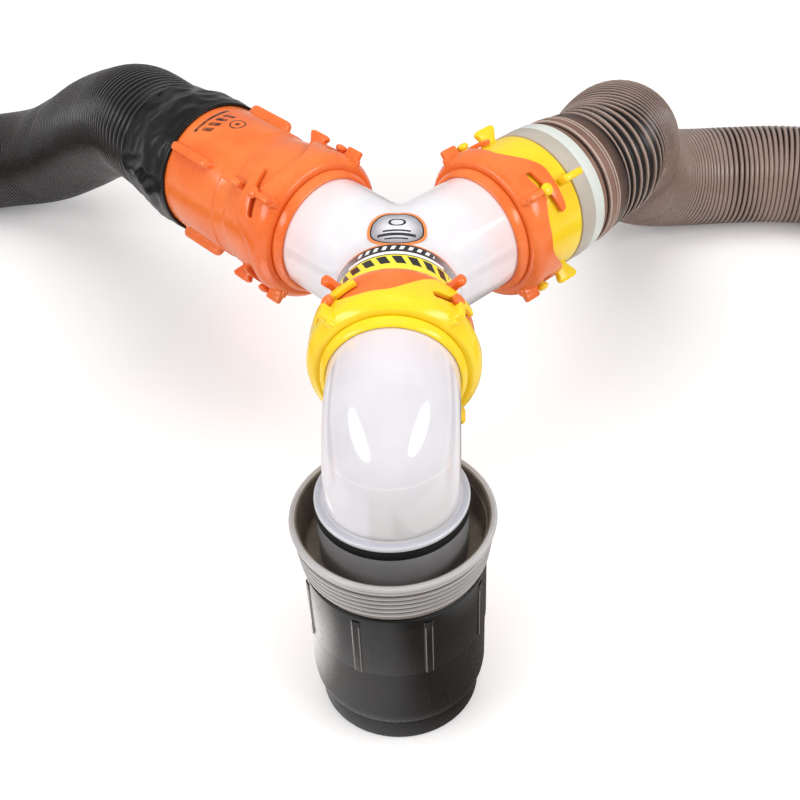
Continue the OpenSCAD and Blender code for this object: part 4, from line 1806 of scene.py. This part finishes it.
class Route:
    """A smooth curve through a hose's points, walked by the distance along it, in millimetres."""

    samples_per_leg: int = 40
    step: float = 1.0

    def __init__(self, points: Sequence[Vector]) -> None:
        """Takes the points and walks the curve.

        Args:
            points: The points that the curve goes through.
        """
        self.points = [Vector(point) for point in points]
        fine = [self._ease(i, k / self.samples_per_leg) for i in range(len(points) - 1)
                for k in range(self.samples_per_leg)] + [self.points[-1]]
        marks = [0.0]
        for first, second in zip(fine, fine[1:]):
            marks.append(marks[-1] + (second - first).length)
        self.length = marks[-1]
        self.count = round(self.length / self.step)
        self.spots = self._evenly(fine, marks)
        self.ways = [self._way(i) for i in range(self.count + 1)]
        self.bends = [self._bend(i) for i in range(self.count + 1)]
        self.ups = self._carried_up()

    def _heading(self, i: int) -> Vector:
        """The direction at a point: along the leg at an end, and the mean of its two legs between.

        Args:
            i: The point's number.

        Returns:
            The unit direction.
        """
        before = (self.points[i] - self.points[i - 1]).normalized() if i > 0 else None
        after = (self.points[i + 1] - self.points[i]).normalized() if i + 1 < len(self.points) else None
        if before is None or after is None:
            return before or after
        return (before + after).normalized()

    def _ease(self, i: int, t: float) -> Vector:
        """A point of the cubic curve between one point and the next.

        Args:
            i: The number of the first point.
            t: The share of the way to the next.

        Returns:
            The place.
        """
        first, second = self.points[i], self.points[i + 1]
        reach = (second - first).length
        out = self._heading(i) * reach * (t ** 3 - 2 * t ** 2 + t)
        into = self._heading(i + 1) * reach * (t ** 3 - t ** 2)
        return first * (2 * t ** 3 - 3 * t ** 2 + 1) + out + second * (3 * t ** 2 - 2 * t ** 3) + into

    def _evenly(self, fine: Sequence[Vector], marks: Sequence[float]) -> list[Vector]:
        """The curve's points at even distances.

        Args:
            fine: Points close together along the curve.
            marks: Each one's distance from the start.

        Returns:
            The points at even distances.
        """
        spots, k = [], 0
        for i in range(self.count + 1):
            goal = self.length * i / self.count
            while k < len(marks) - 2 and marks[k + 1] < goal:
                k += 1
            spots.append(fine[k].lerp(fine[k + 1], (goal - marks[k]) / (marks[k + 1] - marks[k])))
        return spots

    def _way(self, i: int) -> Vector:
        """The curve's direction at a sample, taken over a rib or so."""
        return (self.spots[min(i + 3, self.count)] - self.spots[max(i - 3, 0)]).normalized()

    def _bend(self, i: int) -> Vector:
        """How the direction changes in a millimetre, towards the inside of the bend."""
        low, high = max(i - 6, 0), min(i + 6, self.count)
        return (self.ways[high] - self.ways[low]) / (self.length * (high - low) / self.count)

    def _carried_up(self) -> list[Vector]:
        """An upward direction carried along the curve without twist.

        Returns:
            One direction for each sample.
        """
        ups, up = [], Vector((0, 0, 1))
        for way in self.ways:
            up = (up - way * up.dot(way)).normalized()
            ups.append(up)
        return ups

    def at(self, reach: float) -> tuple[Vector, Vector, Vector, Vector]:
        """What the curve is like at a distance along it.

        Args:
            reach: The distance from the start.

        Returns:
            The place, the upward direction, the sideways one and the bend.
        """
        goal = min(max(reach / self.length, 0.0), 1.0) * self.count
        i = min(int(goal), self.count - 1)
        spot, up, way, bend = (
            row[i].lerp(row[i + 1], goal - i) for row in (self.spots, self.ups, self.ways, self.bends)
        )
        return spot, up, way.cross(up), bend


@dataclass(frozen=True)
class Hose:
    """A ribbed hose: one helical rib, whose gap opens outside a bend and closes inside it."""

    radius: float = 42.0
    bore: float = 38.0
    ribs: int = 200
    columns: int = 48
    bore_rings: int = 160
    rib_share: float = 0.76
    depth: float = 2.5
    slack: float = 0.0
    slack_side: Point = (0.8, -0.5, -0.3)
    slack_end: float = 300.0
    slack_fade: float = 80.0
    least_gap: float = 0.07
    most_gap: float = 0.6
    rows: tuple[tuple[float, float], ...] = (
        (0.0, 1.0), (0.5, 0.9), (1.0, 0.34), (1.24, 0.08), (1.62, 0.0), (2.38, 0.0), (2.76, 0.08),
        (3.0, 0.34),
    )

    def mould(self, route: Route) -> Mould:
        """Args:
            route: The curve that it follows.

        Returns:
            The mould, whose "groove" attribute is 0 on the rib and 1 in the gap.
        """
        made = Mould()
        dark = made.bm.verts.layers.float.new("groove")
        per = len(self.rows)
        rows = (self.ribs + 2) * per
        grid = bmesh.ops.create_grid(made.bm, x_segments=rows, y_segments=self.columns, size=0.5)["verts"]
        pitch = route.length / self.ribs
        for vert in grid:
            row = round((vert.co.x + 0.5) * rows)
            share = round((vert.co.y + 0.5) * self.columns) / self.columns
            turns = row // per - 1 - share
            vert.co, vert[dark] = self._skin(route, pitch, row % per, turns, share)
        self._bore(made, route)
        return made

    def _skin(
        self, route: Route, pitch: float, row: int, turns: float, share: float,
    ) -> tuple[Vector, float]:
        """Where a corner of the skin lies.

        Args:
            route: The curve that the hose follows.
            pitch: The distance from one rib to the next.
            row: Which of a rib's rows the corner is on.
            turns: How many ribs there are before it.
            share: The way round the hose, from 0 to 1.

        Returns:
            The corner's place, and how deep in the gap it is.
        """
        turn = share * math.tau
        place, up, side, bend = route.at(turns * pitch)
        out = up * math.cos(turn) + side * math.sin(turn)
        stretch = 1 - self.radius * bend.dot(out)
        gap = 1 - self.rib_share / max(stretch, 0.3) + self._slack_at(out, turns * pitch)
        gap = min(max(gap, self.least_gap), self.most_gap)
        station, sunk = self.rows[row]
        along = station * gap / 2 if station <= 1 else gap / 2 + (station - 1) / 2 * (1 - gap)
        if station > 3:
            along = 1 - (4 - station) * gap / 2
        place, up, side, bend = route.at((turns + along) * pitch)
        out = (up * math.cos(turn) + side * math.sin(turn)).normalized()
        opened = smooth_step((gap - 0.05) / 0.25)
        drop = self.depth * sunk * (0.45 + 0.55 * opened)
        return place + out * (self.radius - drop), sunk * (0.35 + 0.65 * opened)

    def _slack_at(self, out: Vector, reach: float) -> float:
        """How much wider the gaps are pulled on the side that hangs loose, near the start."""
        side = smooth_step((out.dot(Vector(self.slack_side)) + 0.15) / 0.6)
        return self.slack * side * smooth_step((self.slack_end - reach) / self.slack_fade)

    def _bore(self, made: Mould, route: Route) -> None:
        """Adds the smooth bore and closes the wall at both ends.

        Args:
            made: The mould, which holds the ribbed skin.
            route: The curve that the hose follows.
        """
        grid = bmesh.ops.create_grid(
            made.bm, x_segments=self.bore_rings, y_segments=self.columns, size=0.5,
        )["verts"]
        for vert in grid:
            reach = (vert.co.x + 0.5) * route.length
            turn = (round((vert.co.y + 0.5) * self.columns) / self.columns) * math.tau
            place, up, side, _ = route.at(reach)
            out = (up * math.cos(turn) + side * math.sin(turn)).normalized()
            vert.co = place + out * self.bore
        bmesh.ops.remove_doubles(made.bm, verts=made.bm.verts, dist=WELD)
        rims = [e for e in made.bm.edges if len(e.link_faces) == 1]
        for end in (route.spots[0], route.spots[-1]):
            near = [e for e in rims if (e.verts[0].co - end).length < self.radius * 1.2]
            bmesh.ops.bridge_loops(made.bm, edges=near)


LEFT_ROUTE = (
    (-180, 339, 190.5), (-199, 370, 182.5), (-223, 408, 162), (-254, 450, 134), (-290, 491, 98),
    (-331, 525, 66), (-383, 547, 47), (-434, 544, 42), (-478, 522, 42), (-509, 484, 42),
    (-523, 436, 42), (-526, 380, 42), (-526, 325, 43.2), (-526, 270, 46.4), (-526, 215, 49.7),
    (-526, 186, 50.1), (-526, 100, 50.1),
)
RIGHT_ROUTE = (
    (134.2, 291.2, 191.3), (142.3, 316, 187.5), (150, 341, 179.5), (157, 366, 165.5), (163.5, 392, 146),
    (169, 418, 122), (175, 444, 97), (185, 471, 73), (204, 495, 54.5), (235, 511, 44.5),
    (275, 518, 42), (320, 519, 42), (366, 510, 42), (407, 486, 42), (433, 448, 42),
    (444, 400, 42), (446, 345, 42.8), (446, 290, 45.7), (446, 235, 49.2), (446, 186, 50.1),
    (446, 100, 50.1),
)


@dataclass(frozen=True)
class HoseLine:
    """One hose with its far end: where it leaves the wye, and the points it goes through."""

    side: Side
    start: float
    points: tuple[Point, ...]
    hose: Hose = Hose()
    guide: float = 72.0
    straight: float = 84.0
    exit_drop: float = 12.0
    layout: Layout = Layout()

    def route(self) -> Route:
        """The hose's centre line, which leaves its fitting straight."""
        leads = [self.layout.arm_point(self.side, self.start + s) for s in (0, self.guide, self.straight)]
        return Route([*leads, *(Vector(point) for point in self.points)])

    def build(self, kit: Kit) -> None:
        """Args:
            kit: The frame and the finishes.
        """
        route = self.route()
        name = self.side.name.lower()
        piece = kit.set_down(self.hose.mould(route), f"{name}_hose", Matrix.Identity(4), sharp=False)
        place = self.layout.far(route.points[-1])
        ring_place = place @ Matrix.Translation((0, 0, FarEnd.ring_s))
        end = FarEnd()
        pieces = [
            kit.set_down(end.cuff(), f"{name}_far_cuff", place),
            kit.set_down(end.hub(), f"{name}_far_hub", place),
            kit.set_down(BayonetRing().mould(), f"{name}_far_ring", ring_place),
            kit.set_down(RingBush().mould(), f"{name}_far_ring_bush", ring_place),
        ]
        kit.dress(f"{name}_far_seal")
        pieces.append(kit.frame["nodes"][f"{name}_far_seal"])
        [tuple(spot * MM) for spot in route.spots[::10] + route.spots[-1:]]
        LOG.info("%s hose: %.1f mm long", name, route.length)


# ---------------- couplings in place


HOSE_PADDLE = Paddle(foot=(41.6, 52.6), top=(39.7, 57.8), root_r=45.6, top_r=57.0)
LEG_PADDLE = Paddle(foot=(41.6, 48.3), top=(39.6, 48.4), root_r=45.6, top_r=57.0)

FRONT_BODY = ((38.0, 21.9), (46.2, 21.9, 0.5), (46.2, 43.6, 2.4), (43.1, 50.0, 1.6), (38.0, 50.0, 0.3))
LEFT_BODY = (
    (35.0, 21.9), (46.2, 21.9, 0.5), (46.2, 40.0, 5.0), (45.3, 52.0, 0.5), (44.9, 53.0, 0.4),
    (43.9, 55.0, 1.0), (44.4, 65.2, 0.5), (45.4, 66.3, 0.4), (45.4, 115.6), (44.8, 119.5),
    (44.8, 140.0, 0.5), (42.4, 140.0), (42.4, 81.7), (39.0, 81.7), (39.0, 30.0), (35.0, 26.0),
)
RIGHT_BODY = (
    (35.0, 21.9), (46.2, 21.9, 0.5), (46.2, 40.0, 6.0), (46.0, 51.6, 0.5), (45.4, 53.0, 0.5),
    (43.4, 53.0), (43.4, 58.0), (44.2, 58.5, 0.2), (44.2, 59.2, 0.2), (43.4, 60.0), (42.4, 60.0),
    (42.4, 27.2), (35.0, 25.0),
)


@dataclass(frozen=True)
class Couplings:
    """The three couplings round the wye."""

    layout: Layout = Layout()

    def build(self, kit: Kit) -> None:
        """Makes each ring, bush and lug fitting, and dresses the seals between them.

        Args:
            kit: The frame and the finishes.
        """
        left, right = self.layout.arm(Side.LEFT), self.layout.arm(Side.RIGHT)
        rings = {"elbow_ring": self.layout.front(), "left_ring": left, "right_ring": right}
        for node, place in rings.items():
            kit.set_down(BayonetRing().mould(), node, place)
            kit.set_down(RingBush().mould(), f"{node}_bush", place)
        front = LugFitting(FRONT_BODY, LEG_PADDLE)
        kit.set_down(front.mould(), "front_lug_fitting", self.layout.front())
        shorter = Paddle(HOSE_PADDLE.foot, HOSE_PADDLE.top, HOSE_PADDLE.root_r, 55.0)
        sleeve = LugFitting(LEFT_BODY, shorter, Fin(start=76.2, end=117.0, root_r=44.4, top_r=51.4))
        kit.set_down(sleeve.mould(), "left_lug_fitting", left, finish="printed_orange")
        kit.set_down(LugFitting(RIGHT_BODY, HOSE_PADDLE).mould(), "right_lug_fitting", right)
        kit.set_down(StretchedCuff().mould(), "left_cuff", left)
        end = BandedEnd()
        kit.set_down(end.band(), "right_band", right)
        kit.set_down(end.collar(), "right_collar", right)
        kit.set_down(end.cuff(), "right_cuff", right)
        for start in ("elbow", "left_arm", "right_arm", "left_swivel", "right_swivel"):
            kit.dress(f"{start}_seal")


@dataclass(frozen=True)
class Column:
    """The standing column and the wye on it."""

    layout: Layout = Layout()

    def build(self, kit: Kit) -> None:
        """Makes the inlet, the adapter, the elbow and the wye with its film.

        Args:
            kit: The frame and the finishes.
        """
        column = self.layout.column()
        adapter = Adapter()
        kit.set_down(Inlet().mould(), "inlet_fitting", column)
        kit.set_down(adapter.ring(), "adapter_ring", column, finish="cup_plastic")
        kit.set_down(adapter.sleeve(), "adapter_sleeve", column, finish="sleeve_plastic")
        kit.set_down(adapter.gasket(), "elbow_gasket", column)
        kit.set_down(Elbow().mould(), "elbow", column, finish="elbow_plastic")
        kit.set_down(
            Wye().mould(), "wye_body", Matrix.Identity(4), also=("wye_leg", "wye_left_arm", "wye_right_arm"),
        )
        kit.dress("wye_label")


# ---------------- studio


@dataclass(frozen=True)
class Viewpoint:
    """The camera: where it stands, and how it is turned, in degrees."""

    place: Point = (0.03762, -0.53331, 0.67731)
    down: float = 40.35
    left: float = 3.34
    roll: float = -2.32
    lens: float = 61.24
    sensor: float = 36.0

    def camera(self) -> None:
        """Makes the camera and puts it in use."""
        down, left = math.radians(self.down), math.radians(self.left)
        ahead = Vector((-math.sin(left) * math.cos(down), math.cos(left) * math.cos(down), -math.sin(down)))
        right = ahead.cross(Vector((0, 0, 1))).normalized()
        turned = Matrix.Rotation(-math.radians(self.roll), 3, ahead)
        right = turned @ right
        above = right.cross(ahead)
        data = bpy.data.cameras.new("camera")
        data.lens = self.lens
        data.sensor_width = self.sensor
        data.clip_start = 0.01
        camera = bpy.data.objects.new("camera", data)
        axes = Matrix((right, above, -ahead)).transposed().to_4x4()
        camera.matrix_world = Matrix.Translation(self.place) @ axes
        bpy.context.scene.collection.objects.link(camera)
        bpy.context.scene.camera = camera


@dataclass(frozen=True)
class SoftLamp:
    """A lamp: a flat ellipse that faces a point."""

    name: str
    place: Point
    aim: Point
    size: tuple[float, float]
    power: float
    mirrored: bool = True

    def hang(self) -> None:
        """Puts the lamp in the scene."""
        data = bpy.data.lights.new(self.name, "AREA")
        data.shape = "ELLIPSE"
        data.size, data.size_y = self.size
        data.energy = self.power
        lamp = bpy.data.objects.new(self.name, data)
        away = (Vector(self.place) - Vector(self.aim)).normalized()
        turned = away.to_track_quat("Z", "Y").to_matrix().to_4x4()
        lamp.matrix_world = Matrix.Translation(self.place) @ turned
        lamp.visible_glossy = self.mirrored
        bpy.context.scene.collection.objects.link(lamp)


@dataclass(frozen=True)
class Studio:
    """A white studio: a pale floor, an even surround and soft lamps overhead."""

    floor_z: float = -0.0004
    floor_size: float = 12.0
    floor_colour: str = "f6f4f3"
    # Painted reflection: a strip of floor that only reflections see dark.
    floor_dark_reflection: str = "7d7975"
    floor_lift: float = 0.20
    # Painted reflection: a bright patch of floor that only reflections see.
    floor_gleam: float = 2.2
    gleam: Point = (-0.15, 0.03, 0.0)
    gleam_reach: tuple[float, float] = (0.11, 0.06)
    surround: float = 0.47
    # Painted light: an orange glow on the floor behind the left coupling.
    orange_glow_spot: Point = (-0.105, 0.37, 0.0)
    orange_glow_spot_reach: tuple[float, float] = (0.11, 0.01)
    lamps: tuple[SoftLamp, ...] = (
        SoftLamp("lamp_overhead", (-0.1, 0.3, 1.9), (0.0, 0.15, 0.1), (1.5, 1.5), 14.0, mirrored=False),
        SoftLamp("lamp_left", (-1.04, -0.45, 0.88), (-0.02, -0.01, 0.2), (1.3, 0.42), 8.0),
        SoftLamp("lamp_right", (1.0, -0.39, 0.96), (0.02, -0.01, 0.2), (1.3, 0.42), 9.0),
    )

    def build(self) -> None:
        """Makes the floor, the surround and the lamps."""
        bpy.context.scene.view_settings.view_transform = "Standard"
        self._floor()
        self._surround()
        for lamp in self.lamps:
            lamp.hang()

    def _floor(self) -> None:
        """A pale floor, which looks white to the camera and keeps its shadows, with a painted orange glow
        behind the left coupling and, for reflections only, a painted bright patch left of the inlet and a
        painted dark strip right of it.
        """
        sheet = bmesh.new()
        bmesh.ops.create_grid(
            sheet, x_segments=1, y_segments=1, size=self.floor_size / 2,
            matrix=Matrix.Translation((0, 0, self.floor_z)),
        )
        mesh = bpy.data.meshes.new("floor")
        sheet.to_mesh(mesh)
        sheet.free()
        shade = Shade.called("floor_paint")
        seen = self._seen(shade)
        mirrored = Value(shade, shade.node("ShaderNodeLightPath").outputs["Is Glossy Ray"])
        x = shade.parts(shade.place())[0]
        # Painted dark reflection in a strip right of the inlet.
        across = x.ramp(-0.02, 0.05) * x.ramp(0.18, 0.13)
        beside = shade.distance(self.gleam).ramp(*self.gleam_reach)
        none = (0.0, 0.0, 0.0, 1.0)
        gleam = (self.floor_gleam, self.floor_gleam * 0.97, self.floor_gleam * 0.94, 1.0)
        lift = (self.floor_lift, self.floor_lift, self.floor_lift, 1.0)
        # Painted orange glow on the floor behind the left coupling, mixed into the even lift.
        warm = (self.floor_lift + 0.12, self.floor_lift + 0.03, self.floor_lift + 0.02, 1.0)
        lift = shade.mix(shade.distance(self.orange_glow_spot).ramp(*self.orange_glow_spot_reach), lift, warm)
        # Painted bright reflection left of the inlet.
        glow = shade.mix(mirrored * beside, none, gleam)
        mesh.materials.append(shade.surface({
            "Base Color": shade.mix(mirrored * across, linear(self.floor_colour), linear(self.floor_dark_reflection)),
            "Roughness": 0.85,
            "Specular IOR Level": 0.1,
            "Emission Color": shade.mix(seen, glow, lift),
            "Emission Strength": 1.0,
        }))
        floor = bpy.data.objects.new("floor", mesh)
        bpy.context.scene.collection.objects.link(floor)

    def _surround(self) -> None:
        """An even light all round, which the camera sees as white."""
        world = bpy.data.worlds.new("surround")
        bpy.context.scene.world = world
        shade = Shade(world)
        white = (1.0, 1.0, 1.0, 1.0)
        soft, seen = (
            shade.node("ShaderNodeBackground", None, {"Strength": strength, "Color": white}).outputs[0]
            for strength in (self.surround, 1.0)
        )
        light = shade.node("ShaderNodeMixShader", None, {0: self._seen(shade), 1: soft, 2: seen})
        shade.node("ShaderNodeOutputWorld", None, {0: light.outputs[0]})

    @staticmethod
    def _seen(shade: Shade) -> Value:
        """One for a ray that comes from the camera, and zero for the rest."""
        return Value(shade, shade.node("ShaderNodeLightPath").outputs["Is Camera Ray"])


# ---------------- all of it


def finishes() -> dict[str, bpy.types.Material]:
    """The finish of each material slot, and of the pieces that have their own.

    Returns:
        The materials, by name.
    """
    layout, elbow, cup, inlet = Layout(), Elbow(), Adapter(), Inlet()
    arm_rims = tuple(
        (tuple(layout.arm_point(side, layout.arm_ring_s) * MM), 0.037, 0.05) for side in Side
    )
    front_rim = ((0.0, 0.100, 0.192), 0.034, 0.05)
    made = [
        MilkyPlastic("milk_plastic", ("f3f0f4", "ebe8ee"), "fbdedd", (*arm_rims, front_rim)),
        MilkyPlastic(
            "elbow_plastic", ("e3dfe4", "dcd8de"), "f3dfe2", (((0.0, 0.052, 0.192), 0.030, 0.050),),
            lip=(elbow.lip_z + elbow.lip_t, elbow.lip_r), roughness=0.1,
        ),
        MouldedPlastic("orange_plastic", "f37f3d", "ec6a29", roughness=0.2),
        PrintedSleeve(
            "printed_orange", "f37f3d", "ec6a29", roughness=0.2, turn=layout.arm_angle,
            origin=tuple(layout.arm_point(Side.LEFT, layout.arm_ring_s)),
        ),
        MouldedPlastic("yellow_plastic", "fad925", "f8cc1f", roughness=0.2),
        CupPlastic(
            "cup_plastic", "bbb8b8", "80766b", floor_z=cup.floor_z,
            thread_z=cup.thread_z, thread_root=cup.thread_root,
        ),
        MouldedPlastic("grey_plastic", "b9b6b6", "aeabab", roughness=0.42),
        MouldedPlastic("sleeve_plastic", "858484", "7a7979", roughness=0.42),
        MouldedPlastic("band_plastic", "bdb4a7", "b2a99c", roughness=0.4),
        MouldedPlastic("collar_plastic", "d8dcd5", "cfd3cc", roughness=0.4),
        RibbedBlack(
            "black_plastic", "13100f", "8f8a86", rib_r=inlet.rib_top, rib_half=inlet.rib_t / 2 - 0.15,
            rib_z=(inlet.rib_foot, inlet.rib_head), step_z=inlet.step_z, top_z=inlet.top_z,
        ),
        Rubber("seal_rubber", "060505", "040404", "101010", roughness=0.6),
        Rubber("black_rubber", "151313", "0d0c0c", "2a2726", roughness=0.28),
        RidgedRubber(
            "brown_rubber", "8f6f60", "7a5c4f", "a58a7d", roughness=0.4, turn=-layout.arm_angle,
            origin=tuple(layout.arm_point(Side.RIGHT, layout.arm_ring_s)),
            crests=tuple(BandedEnd.cuff_s + step for step in BandedEnd.crests),
        ),
        HoseSkin("black_hose", "151211", "0f0d0c", "030303", "4c4745", roughness=0.26),
        HoseSkin("brown_hose", "7d6458", "675146", "0c0705", "c4b2a8", roughness=0.26),
        LabelFilm(
            "label_film", disc_y=150.0, disc_r=18.0, band_top=133.5, leg_r=Coupling().pipe_r,
            axis_z=layout.axis_z,
        ),
    ]
    return {finish.name: finish.material() for finish in made}


def main() -> None:
    """Builds the studio, the hoses, the couplings and the column, in that order."""
    logging.basicConfig(level=logging.INFO, format="%(message)s")
    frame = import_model()
    Viewpoint().camera()
    Studio().build()
    kit = Kit(frame, finishes())
    HoseLine(Side.LEFT, start=150.0, points=LEFT_ROUTE).build(kit)
    HoseLine(Side.RIGHT, start=97.0, points=RIGHT_ROUTE, hose=Hose(slack=0.45)).build(kit)
    Couplings().build(kit)
    Column().build(kit)


if __name__ == "__main__":
    main()
